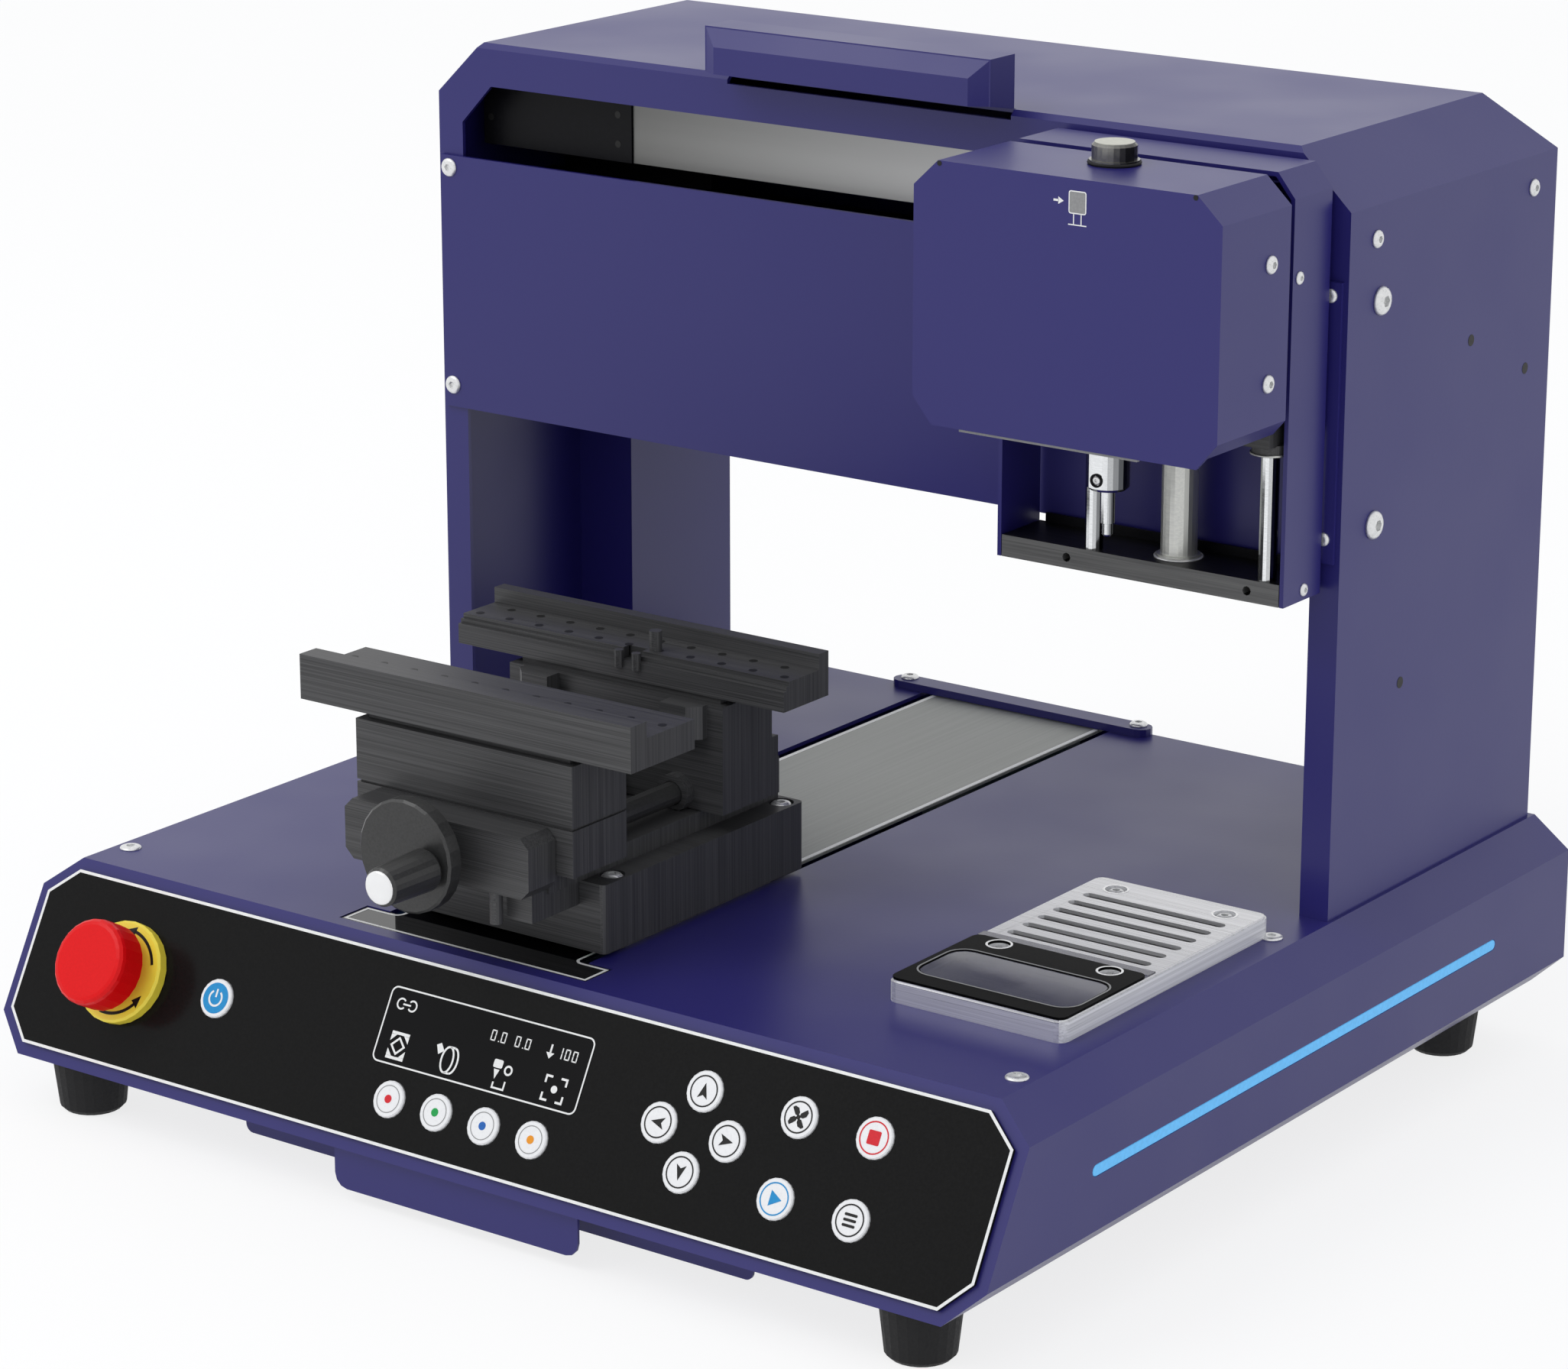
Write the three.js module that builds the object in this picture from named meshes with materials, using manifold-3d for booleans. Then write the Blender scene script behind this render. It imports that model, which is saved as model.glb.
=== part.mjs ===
// Desktop engraving machine for flat and jewellery work, in millimetres, +Z up, front facing -Y.
// The origin lies on the ground below the middle of the footprint.
import * as THREE from 'three';
import { mergeVertices } from 'three/addons/utils/BufferGeometryUtils.js';
import Module from 'manifold-3d';

const wasm = await Module();
wasm.setup();

// Driving dimensions shared by all assemblies
const sheet = 1.5;        // folded sheet of the housings
const gap = 0.3;          // clearance between neighbouring pieces
const overrun = 4;        // how far a cutting tool runs past what it cuts
const roundSides = 24;    // sides of a round piece
const rodSides = 16;      // sides of a rod or its bore
const holeSides = 8;      // sides of a small hole
const keySides = 20;      // sides of a key
const cornerSteps = 3;    // facets of a rounded corner

// Base housing: octagonal section, front leaning back
const base = {
  width: 410,
  height: 62.1,
  topDepth: 339.2,
  frontRun: 34.3,
  topFoldWidth: 14.1,
  topFoldDrop: 10.6,
  lowFoldWidth: 12.3,
  lowFoldRise: 11.4,
  bottomFlange: 12,
  frontFlange: 16,
};

const foot = {
  height: 20,
  topRadius: 13.6,
  bottomRadius: 11.5,
  chamfer: 1.5,
  sideInset: 31,
  frontInset: 16.9,
  rearInset: 31.6,
  boltRadius: 4,
  boltDepth: 6,
};

// Light guide let into each side wall
const light = {
  width: 256.5,
  height: 3.5,
  centreY: -11.5,
  centreRise: 31.6,
  lip: 1.5,
  lipThickness: 1.2,
};

// Control panel on the leaning front, placed by x and by the distance up the slope
const panel = {
  border: 4.3,
  thickness: 1.2,
  ledge: 5,
};

const key = {
  radius: 6.2,
  largeRadius: 6.7,
  proud: 0.9,
  edge: 0.4,
  bodyDepth: 3,
  flange: 1.2,
  flangeThickness: 1.5,
};

// Places of the controls: x as a share of half the width, rise as a share of the slope
const powerShares = { x: -0.5537, rise: 0.5131 };
const rowShares = { x: -0.1517, pitch: 0.0969, rise: 0.2805 };
const arrowShares = { x: 0.4263, rise: 0.5103, reachUp: 0.1861 };
const runShares = { x: 0.6049, pitchX: 0.1395, rise: 0.3256, pitchUp: 0.3693 };
const stopShares = { x: -0.7585, rise: 0.5103 };
const displayShares = { x: -0.0044 };

const arrowReach = 13.4;

const display = {
  width: 85,
  topInset: 14.5,
  keyGap: 4.7,
  corner: 2.6,
  lip: 2,
  lipThickness: 2,
};

const stop = {
  ringRadius: 17.8,
  ringHeight: 4,
  ringEdge: 0.8,
  barrelRadius: 10.5,
  barrelDepth: 16,
  stemRadius: 7,
  neckRadius: 10.5,
  headRadius: 15,
  headHeight: 12,
  headLift: 9,
  headRound: 2.4,
  nutRadius: 14,
  nutHeight: 4,
};

// Lengthwise slot in the top plate and the band that covers it
const slot = {
  x: -26.5,
  width: 85,
  frontMargin: 5.6,
  mouthWidth: 105,
  mouthDepth: 14.5,
};

const band = {
  width: 76,
  thickness: 1,
  frontLength: 64,
};

const clampBar = { width: 116, depth: 9, height: 2.9, overhang: 2.4 };

// Guide of the table below the band
const drive = {
  plateWidth: 80,
  plateHeight: 6,
  endThickness: 8,
  endWidth: 66,
  frontY: -158,
  rearY: 158,
  railSpread: 44,
  railWidth: 10,
  railHeight: 10,
  screwRadius: 4,
  screwRise: 24,
  motorSize: 38,
  motorDepth: 15,
  motorRise: 3,
};

const table = {
  frontY: -130,
  length: 80,
  height: 24,
  deck: 4,
  lift: 1.9,
};

// Pull-out tray on runners below the base
const tray = {
  width: 214,
  depth: 5.4,
  length: 150,
  frontInset: 21,
  wall: 1,
  tabWidth: 102,
  tabReach: 17,
  tabDrop: 15,
  tabCorner: 5,
  runner: 1.5,
  runnerLip: 4,
};

// Rear panel with the mains inlet
const inlet = {
  sideInset: 85,
  rise: 30,
  width: 48,
  height: 27,
  corner: 2,
  proud: 2,
  socketWidth: 24,
  socketHeight: 16.5,
  socketCorner: 3,
  depth: 14,
  wall: 2,
  bladeWidth: 2,
  bladeHeight: 4,
  bladePitch: 7,
  bladeLength: 9,
  bladeDrop: 2.5,
};

// Rack for tools on the right of the top plate
const rack = {
  width: 67,
  depth: 125,
  height: 7.4,
  corner: 3.6,
  sideInset: 9.9,
  frontInset: 48.6,
  chamfer: 0.6,
  plateDepth: 50.5,
  plateThickness: 0.9,
  slotCount: 6,
  slotLength: 55,
  slotWidth: 4,
  slotPitch: 9.1,
  slotDepth: 5,
  slotRearInset: 19,
  windowWidth: 60,
  windowDepth: 27,
  windowCorner: 6,
  windowFrontInset: 9,
  pocketDepth: 4,
  screwRadius: 3.7,
  screwPitchX: 42.4,
  rearScrewInset: 8.8,
  frontScrewInset: 46,
  screwDepth: 3,
};

// Gantry: folded housing with two open columns
const gantry = {
  sideInset: 1.2,
  rearInset: 3.2,
  depth: 139.8,
  height: 259,
  cornerWidth: 20.2,
  cornerDrop: 19.3,
  rearRun: 17.8,
  frontFold: 1.9,
  portalHeight: 123.3,
  postWidth: 26.3,
  postDepth: 62.4,
  windowRise: 217.3,
  windowTop: 243.6,
  windowBorder: 10.9,
  windowShoulder: 12.1,
  windowCorner: 13.5,
};

const frontCover = { thickness: 1.5, sideInset: 1.7, windowGap: 0.4 };

// Rail and curtain inside the beam
const rail = {
  beamSetback: 33.4,
  beamDepth: 30,
  beamRise: 143,
  beamHeight: 60,
  railRise: 180,
  railHeight: 15,
  railDepth: 8,
  plateSetback: 12.4,
  plateThickness: 2.5,
  curtainEnd: 111,
  slotHeight: 2.6,
  curtainTop: 20,
  bracketRise: 5,
  bracketThickness: 4,
};

const curtain = { thickness: 1, setback: 13.2 };

const hood = {
  width: 118,
  depth: 14.5,
  height: 15.7,
  lift: 2.9,
  bevel: 6.4,
  nose: 3.8,
  lip: 1,
};

// Head carriage, parked at the right end of the beam
const carriage = {
  width: 111,
  sideInset: 5.2,
  depth: 23.3,
  clearance: 1.8,
  bottomRise: 113.8,
  height: 142,
  cornerWidth: 6.5,
  cornerDrop: 8,
  backThickness: 2.8,
  backRise: 66,
  armWidth: 50,
  armThickness: 1.6,
  armLift: 0.3,
  shoeThickness: 5.7,
  shoeLip: 6,
  shoeBelow: 7,
};

const headPlate = { height: 7.5, holeRadius: 1.6, holeDepth: 4, holeInset: 27.6, holeRise: 3.7 };

const rods = {
  radius: 3.1,
  leftInset: 35.8,
  rightInset: 8.5,
  setback: 3.9,
  sleeveRadius: 6.1,
  sleeveInset: 64.1,
  sleeveSetback: 11.5,
  sleeveFootRadius: 7.3,
  sleeveFootHeight: 1.2,
};

// Sliding head: block on the rods, cover, knob and tool
const head = {
  blockSideGap: 4,
  blockFront: 5,
  blockRise: 53.1,
  blockHeight: 61,
  bushRadius: 6.2,
  bushDrop: 2.8,
  noseWidth: 90,
  noseRise: 57.1,
  noseHeight: 52,
  yokeFront: 11,
  yokeDepth: 22,
  yokeRise: 72,
  yokeHeight: 50,
  reach: 44,
};

const cover = {
  overhang: 2.3,
  front: 47.4,
  rear: 6,
  rise: 55.1,
  height: 87,
  cornerWidth: 9.3,
  cornerDrop: 8.7,
  lowWidth: 7.5,
  lowRise: 8.9,
};

const tool = {
  x: 55.5,
  setback: -19,
  spindleRadius: 4,
  spindleLength: 42,
  holderRadius: 7.1,
  holderRise: 35.6,
  holderHeight: 16.5,
  holderEdge: 1,
  clampRadius: 1.6,
  clampDepth: 3,
  clampRise: 4,
  bitRadius: 2.4,
  bitDrop: 11.4,
  tipDrop: 4.5,
  tipRadius: 1.8,
  pointRadius: 1.1,
  boreDepth: 13,
};

const knob = {
  flangeRadius: 8.25,
  flangeHeight: 1.6,
  radius: 7.4,
  height: 7,
  edge: 0.8,
  stemRadius: 3,
  stemLength: 20,
};

// Vise on the table
const vise = {
  baseHalfWidth: 45.5,
  baseHeight: 23.8,
  baseFrontY: -145,
  baseRearY: -35,
  baseCorner: 2,
  bossRadius: 4.4,
  bossDepth: 2,
  bossInset: 5.6,
  bedHalfWidth: 36,
  bedHeight: 6.6,
  bearingHalfWidth: 38.7,
  bearingThickness: 14,
  bearingRise: 1.6,
  bearingHeight: 20.8,
  bearingChamfer: 3.4,
  bearingFrontY: -175.3,
  rearPlateY: -43,
  rearPlateThickness: 6,
  lugX: 29.8,
  lugWidth: 10.5,
  lugSetback: 6,
  lugDrop: 9.9,
  pinRadius: 2.2,
  pinX: 23.3,
  pinDrop: 10.8,
  rodRadius: 4,
  rodSpread: 54,
  rodRise: 12.4,
  screwRadius: 4,
  screwRise: 13.4,
};

const jaws = {
  halfWidth: 45.5,
  frontDepth: 28,
  rearDepth: 27.6,
  footDepth: 31.7,
  frontHeight: 37.6,
  seamRise: 15.8,
  seam: 0.9,
  rearFrontY: -81,
  flareHeight: 15.8,
  flareSlope: 3,
  neckHeight: 2.3,
  neckInset: 3.2,
  armX: 31.5,
  armWidth: 15,
  armReach: 6.5,
  armHeight: 11.5,
  armChamfer: 4,
  bossRadius: 6.5,
  bossReach: 4,
  barHalfWidth: 69.5,
  deckHeight: 10,
  ridgeHeight: 15.5,
  frontBarDepth: 33.2,
  frontRidge: 8.3,
  frontRowInset: 22.1,
  rearBarDepth: 25,
  rearBarSetback: 1.7,
  rearRidge: 5.3,
  rearRowInset: 6.5,
  rowPitch: 9,
  stepHeight: 1.5,
  stepDepth: 1.4,
  holeRadius: 1.1,
  holeDepth: 4,
  holeCount: 11,
  holePitch: 13,
  notchWidth: 8,
  notchDepth: 6,
  notchDrop: 4,
  stopX: 4.6,
  stopSpread: 7.4,
  stopRadius: 1.6,
  stopDrop: 6,
  postX: 11.7,
  postRadius: 2.2,
  postHeight: 7,
};

const wheel = {
  radius: 19.2,
  thickness: 6.6,
  edge: 0.8,
  frontGap: 9.1,
  hubRadius: 7,
};

const crank = {
  offsetX: 10.5,
  offsetDown: 1.5,
  radius: 7.2,
  frontRadius: 6.5,
  length: 24,
  shoulder: 2.4,
  edge: 0.9,
  pinRadius: 3,
  pinLength: 20,
};

// Levels and planes that several assemblies share
const underside = foot.height;
const top = underside + base.height;
const halfWidth = base.width / 2;
const topHalfWidth = halfWidth - base.topFoldWidth;
const lowHalfWidth = halfWidth - base.lowFoldWidth;
const frontTopY = -base.topDepth / 2;
const frontFootY = frontTopY - base.frontRun;
const rearY = base.topDepth / 2;
const slopeLength = Math.hypot(base.frontRun, base.height);
const slopeScale = slopeLength / base.height;
const stopX = stopShares.x * halfWidth;
const stopRise = stopShares.rise * slopeLength;
const inletX = halfWidth - inlet.sideInset;
const bandZ = top - gap - band.thickness;
const slotFrontY = frontTopY + slot.frontMargin;
const slotNeckY = slotFrontY + slot.mouthDepth;
const floorZ = underside + sheet;
const bedZ = top + table.lift + vise.baseHeight;
const floorOfBedZ = bedZ + vise.bedHeight;
const gantryHalf = topHalfWidth - gantry.sideInset;
const gantryRearY = rearY - gantry.rearInset;
const gantryFrontY = gantryRearY - gantry.depth;
const gantryTop = top + gantry.height;
const portalZ = top + gantry.portalHeight;
const windowZ = top + gantry.windowRise;
const coverFrontY = gantryFrontY - frontCover.thickness;
const carriageRight = gantryHalf - carriage.sideInset;
const carriageLeft = carriageRight - carriage.width;
const carriageRearY = coverFrontY - carriage.clearance;
const carriageFrontY = carriageRearY - carriage.depth;
const carriageBottom = top + carriage.bottomRise;
const carriageTop = carriageBottom + carriage.height;
const toolX = carriageLeft + tool.x;
const toolY = carriageFrontY + tool.setback;

// Turns a closed geometry into a solid that can be cut and joined
function solid(geometry) {
  const bare = geometry.clone();
  bare.deleteAttribute('normal');
  bare.deleteAttribute('uv');
  const merged = mergeVertices(bare);
  const corners = Array.from(merged.index.array);
  const whole = [];
  for (let i = 0; i < corners.length; i += 3) {
    const [a, b, c] = corners.slice(i, i + 3);
    if (a !== b && b !== c && c !== a) {
      whole.push(a, b, c);
    }
  }
  return new wasm.Manifold(new wasm.Mesh({
    numProp: 3,
    vertProperties: new Float32Array(merged.attributes.position.array),
    triVerts: new Uint32Array(whole),
  }));
}

// Outline points [a, b] as a three.js shape, with outlines of holes
function shapeOf(points, holes = []) {
  const shape = new THREE.Shape(points.map(([a, b]) => new THREE.Vector2(a, b)));
  shape.holes = holes.map((hole) => new THREE.Path(hole.map(([a, b]) => new THREE.Vector2(a, b))));
  return shape;
}

function extruded(points, depth, holes) {
  return new THREE.ExtrudeGeometry(shapeOf(points, holes), { depth, bevelEnabled: false });
}

// Prisms along each axis: the outline holds (x, y), (x, z) or (y, z)
function alongZ(points, from, to, holes) {
  return solid(extruded(points, to - from, holes).translate(0, 0, from));
}

function alongY(points, from, to, holes) {
  return solid(extruded(points, to - from, holes).rotateX(Math.PI / 2).translate(0, to, 0));
}

function alongX(points, from, to, holes) {
  const turn = new THREE.Matrix4().makeBasis(
    new THREE.Vector3(0, 1, 0),
    new THREE.Vector3(0, 0, 1),
    new THREE.Vector3(1, 0, 0),
  );
  return solid(extruded(points, to - from, holes).applyMatrix4(turn).translate(from, 0, 0));
}

function box(x0, x1, y0, y1, z0, z1) {
  const shape = new THREE.BoxGeometry(x1 - x0, y1 - y0, z1 - z0);
  return solid(shape.translate((x0 + x1) / 2, (y0 + y1) / 2, (z0 + z1) / 2));
}

// Solid of revolution about +Z from a profile [radius, z] that rises from axis to axis
function turned(profile, x, y, sides = roundSides) {
  const points = profile.map(([radius, z]) => new THREE.Vector2(radius, z));
  return solid(new THREE.LatheGeometry(points, sides).rotateX(Math.PI / 2).translate(x, y, 0));
}

// Solid of revolution about a line along +Y, from a profile [radius, y]
function turnedY(profile, x, z, sides = roundSides) {
  const points = profile.map(([radius, y]) => new THREE.Vector2(radius, y));
  return solid(new THREE.LatheGeometry(points, sides).translate(x, 0, z));
}

function circle(x, y, radius, sides = roundSides) {
  return Array.from({ length: sides }, (_, i) => {
    const angle = (2 * Math.PI * i) / sides;
    return [x + radius * Math.cos(angle), y + radius * Math.sin(angle)];
  });
}

function rectangle(a0, a1, b0, b1) {
  return [[a0, b0], [a1, b0], [a1, b1], [a0, b1]];
}

// Outline symmetric about a centre line, from its right half read upwards
function mirrored(half, centre = 0) {
  const right = half.map(([a, b]) => [centre + a, b]);
  const left = half.map(([a, b]) => [centre - a, b]).reverse();
  return [...right, ...left];
}

// Moves every side of a counter-clockwise outline inwards
function inset(points, distance) {
  const corners = points.map(([a, b]) => new THREE.Vector2(a, b));
  return corners.map((corner, i) => {
    const before = corner.clone().sub(corners.at(i - 1)).normalize();
    const after = corners[(i + 1) % corners.length].clone().sub(corner).normalize();
    const reach = distance / (1 + before.dot(after));
    return [corner.x - (before.y + after.y) * reach, corner.y + (before.x + after.x) * reach];
  });
}

// Rounds every corner of an outline with an arc
function rounded(points, radius, steps = cornerSteps) {
  const corners = points.map(([a, b]) => new THREE.Vector2(a, b));
  return corners.flatMap((corner, i) => {
    const back = corners.at(i - 1).clone().sub(corner).normalize();
    const ahead = corners[(i + 1) % corners.length].clone().sub(corner).normalize();
    const half = Math.acos(back.dot(ahead)) / 2;
    const centre = back.clone().add(ahead).normalize().multiplyScalar(radius / Math.sin(half)).add(corner);
    const reach = radius / Math.tan(half);
    const start = back.multiplyScalar(reach).add(corner).sub(centre).angle();
    const end = ahead.multiplyScalar(reach).add(corner).sub(centre).angle();
    const sweep = Math.atan2(Math.sin(end - start), Math.cos(end - start));
    return Array.from({ length: steps + 1 }, (_, k) => {
      const angle = start + (sweep * k) / steps;
      return [centre.x + radius * Math.cos(angle), centre.y + radius * Math.sin(angle)];
    });
  });
}

// Slot outline with half-round ends, longer along a
function stadium(a0, a1, b0, b1) {
  const radius = (b1 - b0) / 2;
  const middle = (b0 + b1) / 2;
  const arc = (centre, start) => Array.from({ length: 2 * cornerSteps + 1 }, (_, k) => {
    const angle = start + (Math.PI * k) / (2 * cornerSteps);
    return [centre + radius * Math.cos(angle), middle + radius * Math.sin(angle)];
  });
  return [...arc(a1 - radius, -Math.PI / 2), ...arc(a0 + radius, Math.PI / 2)];
}

// Closed solid through two four-cornered sections at y0 and y1, each as [x0, x1, z0, z1]
function wedgeY(rear, rearPlane, front, frontPlane) {
  const ring = ([x0, x1, z0, z1], y) => [[x0, y, z0], [x1, y, z0], [x1, y, z1], [x0, y, z1]];
  const points = [...ring(front, frontPlane), ...ring(rear, rearPlane)];
  const faces = [[0, 1, 2, 3], [5, 4, 7, 6], [4, 5, 1, 0], [1, 5, 6, 2], [2, 6, 7, 3], [4, 0, 3, 7]];
  const geometry = new THREE.BufferGeometry();
  geometry.setAttribute('position', new THREE.Float32BufferAttribute(points.flat(), 3));
  geometry.setIndex(faces.flatMap(([a, b, c, d]) => [a, b, c, a, c, d]));
  return solid(geometry);
}

function join(first, ...others) {
  return others.reduce((whole, other) => whole.add(other), first);
}

function cut(first, ...tools) {
  return tools.reduce((whole, other) => whole.subtract(other), first);
}

// Finishes: each piece gets a material of its own
const finishes = {
  blue: { color: 0x3d3b78, roughness: 0.45, metalness: 0.1 },
  black: { color: 0x1c1c1e, roughness: 0.5, metalness: 0.3 },
  panel: { color: 0x151515, roughness: 0.35, metalness: 0 },
  glass: { color: 0x101014, roughness: 0.1, metalness: 0 },
  clear: { color: 0xb9bccb, roughness: 0.1, metalness: 0, transparent: true, opacity: 0.4 },
  white: { color: 0xe9e9e9, roughness: 0.4, metalness: 0 },
  red: { color: 0xe3242b, roughness: 0.35, metalness: 0 },
  yellow: { color: 0xe9c52e, roughness: 0.4, metalness: 0 },
  light: { color: 0x63b6ee, roughness: 0.3, metalness: 0 },
  rubber: { color: 0x1a1a1a, roughness: 0.8, metalness: 0 },
  steel: { color: 0xb9bbbd, roughness: 0.3, metalness: 1 },
  aluminium: { color: 0xb6b8ba, roughness: 0.4, metalness: 0.9 },
  band: { color: 0x83867f, roughness: 0.45, metalness: 0.6 },
};

const machine = new THREE.Group();

function piece(name, finish, body, parent = machine) {
  const made = body.getMesh();
  const geometry = new THREE.BufferGeometry();
  geometry.setAttribute('position', new THREE.BufferAttribute(new Float32Array(made.vertProperties), 3));
  geometry.setIndex(Array.from(made.triVerts));
  geometry.computeVertexNormals();
  const mesh = new THREE.Mesh(geometry, new THREE.MeshStandardMaterial(finishes[finish]));
  mesh.name = name;
  parent.add(mesh);
  return mesh;
}

// The leaning front: x across, y up the slope, z out of the face
const front = new THREE.Group();
front.position.set(0, frontFootY, underside);
front.rotation.x = Math.atan2(base.height, base.frontRun);
front.updateMatrix();
machine.add(front);

function onFront(body) {
  return body.transform(front.matrix.toArray());
}

// Section of the base housing in (x, z) and its front face in (x, slope)
const baseSection = mirrored([
  [lowHalfWidth, underside],
  [halfWidth, underside + base.lowFoldRise],
  [halfWidth, top - base.topFoldDrop],
  [topHalfWidth, top],
]);
const frontFace = baseSection.map(([x, z]) => [x, (z - underside) * slopeScale]);

// Everything in front of the leaning face, from a plane set back from it
function aheadOfFront(setback) {
  const across = halfWidth + overrun;
  const tall = slopeLength + overrun;
  return onFront(box(-across, across, -overrun, tall, -setback, base.frontRun + overrun));
}

function slotOutline(clearance) {
  const neck = slot.width / 2 + clearance;
  const mouth = slot.mouthWidth / 2 + clearance;
  return mirrored([
    [mouth, slotFrontY - clearance],
    [mouth, slotNeckY + clearance],
    [neck, slotNeckY + clearance],
    [neck, rearY + overrun],
  ], slot.x);
}

function lightOutline(extra) {
  const end = light.width / 2 + extra;
  const half = light.height / 2 + extra;
  const middle = underside + light.centreRise;
  return stadium(light.centreY - end, light.centreY + end, middle - half, middle + half);
}

function makeBase() {
  const outer = cut(alongY(baseSection, frontFootY, rearY), aheadOfFront(0));
  const inner = cut(
    alongY(inset(baseSection, sheet), frontFootY - overrun, rearY + overrun),
    aheadOfFront(sheet),
  );
  const bottom = lowHalfWidth - base.bottomFlange;
  const bottomOpening = box(
    -bottom, bottom, frontFootY + base.frontFlange, rearY + overrun, underside - overrun, floorZ + gap,
  );
  const panelOpening = onFront(
    alongZ(inset(frontFace, panel.border + panel.ledge), -sheet - overrun, overrun),
  );
  const slotCut = alongZ(slotOutline(0), top - sheet - overrun, top + overrun);
  const lights = [-1, 1].map((side) => {
    const outside = side * (halfWidth + overrun);
    const inside = side * (halfWidth - sheet - gap);
    return alongX(lightOutline(gap), Math.min(outside, inside), Math.max(outside, inside));
  });
  piece('base_shell', 'blue', cut(outer, inner, bottomOpening, panelOpening, slotCut, ...lights));
}

function makeLights() {
  for (const side of [-1, 1]) {
    const face = side * halfWidth;
    const wall = side * (halfWidth - sheet - gap);
    const back = side * (halfWidth - sheet - gap - light.lipThickness);
    const bar = alongX(lightOutline(0), Math.min(face, back), Math.max(face, back));
    const lip = alongX(lightOutline(light.lip), Math.min(wall, back), Math.max(wall, back));
    piece(side < 0 ? 'led_left' : 'led_right', 'light', join(bar, lip));
  }
}

function makeBottom() {
  const half = lowHalfWidth - base.bottomFlange - gap;
  const from = frontFootY + base.frontFlange + gap;
  const plate = box(-half, half, from, rearY - sheet - gap, underside, floorZ);
  const trayBottom = underside - gap - tray.depth;
  const runnerFrom = from + overrun;
  const runnerTo = trayRearY() + gap + tray.runner;
  const runners = [-1, 1].map((side) => {
    const inner = tray.width / 2 - tray.runnerLip;
    const wall = tray.width / 2 + gap;
    return alongY(
      [
        [side * inner, trayBottom - gap - tray.runner],
        [side * (wall + tray.runner), trayBottom - gap - tray.runner],
        [side * (wall + tray.runner), underside + sheet / 2],
        [side * wall, underside + sheet / 2],
        [side * wall, trayBottom - gap],
        [side * inner, trayBottom - gap],
      ],
      runnerFrom,
      runnerTo,
    );
  });
  piece('bottom_plate', 'blue', join(plate, ...runners));
}

function makeFeet() {
  const places = {
    foot_front_left: [-1, frontFootY + foot.frontInset],
    foot_front_right: [1, frontFootY + foot.frontInset],
    foot_rear_left: [-1, rearY - foot.rearInset],
    foot_rear_right: [1, rearY - foot.rearInset],
  };
  for (const [name, [side, y]] of Object.entries(places)) {
    const profile = [
      [0, foot.boltDepth],
      [foot.boltRadius, foot.boltDepth],
      [foot.boltRadius, 0],
      [foot.bottomRadius - foot.chamfer, 0],
      [foot.bottomRadius, foot.chamfer],
      [foot.topRadius, foot.height],
      [0, foot.height],
    ];
    piece(name, 'rubber', turned(profile, side * (halfWidth - foot.sideInset), y));
  }
}

// Round keys of the control panel, as name, x, rise and radius
function keyPlaces() {
  const small = key.radius;
  const large = key.largeRadius;
  const at = (name, xShare, riseShare, radius) => [
    name, xShare * halfWidth, riseShare * slopeLength, radius,
  ];
  const row = ['key_red', 'key_green', 'key_blue', 'key_orange'].map(
    (name, i) => at(name, rowShares.x + i * rowShares.pitch, rowShares.rise, small),
  );
  const arrowX = arrowShares.x * halfWidth;
  const arrowRise = arrowShares.rise * slopeLength;
  const rightShare = runShares.x + runShares.pitchX;
  const upperShare = runShares.rise + runShares.pitchUp;
  return [
    ...row,
    at('key_power', powerShares.x, powerShares.rise, large),
    at('key_up', arrowShares.x, arrowShares.rise + arrowShares.reachUp, large),
    at('key_down', arrowShares.x, arrowShares.rise - arrowShares.reachUp, large),
    ['key_left', arrowX - arrowReach, arrowRise, large],
    ['key_right', arrowX + arrowReach, arrowRise, large],
    at('key_fan', runShares.x, upperShare, large),
    at('key_start', runShares.x, runShares.rise, large),
    at('key_stop', rightShare, upperShare, large),
    at('key_menu', rightShare, runShares.rise, large),
  ];
}

const panelBack = gap;
const panelFace = panelBack + panel.thickness;

// The display reaches from above the row of keys to below the panel's top edge
function displayOutline(extra) {
  const wide = display.width / 2 + extra;
  const middle = displayShares.x * halfWidth;
  const low = rowShares.rise * slopeLength + key.radius + display.keyGap - extra;
  const high = slopeLength - display.topInset + extra;
  return rounded(rectangle(middle - wide, middle + wide, low, high), display.corner + extra);
}

function makePanel() {
  const holes = keyPlaces().map(([, x, rise, radius]) => circle(x, rise, radius + gap, keySides));
  holes.push(displayOutline(gap));
  holes.push(circle(stopX, stopRise, stop.barrelRadius + gap));
  piece('control_panel', 'panel', alongZ(inset(frontFace, panel.border), panelBack, panelFace, holes), front);
  const lipTop = panelBack - gap;
  const glass = alongZ(displayOutline(0), lipTop - display.lipThickness, panelFace);
  const lip = alongZ(displayOutline(display.lip), lipTop - display.lipThickness, lipTop);
  piece('display_window', 'glass', join(glass, lip), front);
}

function makeKeys() {
  for (const [name, x, rise, radius] of keyPlaces()) {
    const lipTop = panelBack - gap;
    const back = lipTop - key.bodyDepth;
    const face = panelFace + key.proud;
    const profile = [
      [0, back],
      [radius + key.flange, back],
      [radius + key.flange, back + key.flangeThickness],
      [radius, back + key.flangeThickness],
      [radius, face - key.edge],
      [radius - key.edge, face],
      [0, face],
    ];
    piece(name, 'white', turned(profile, x, rise, keySides), front);
  }
}

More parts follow.
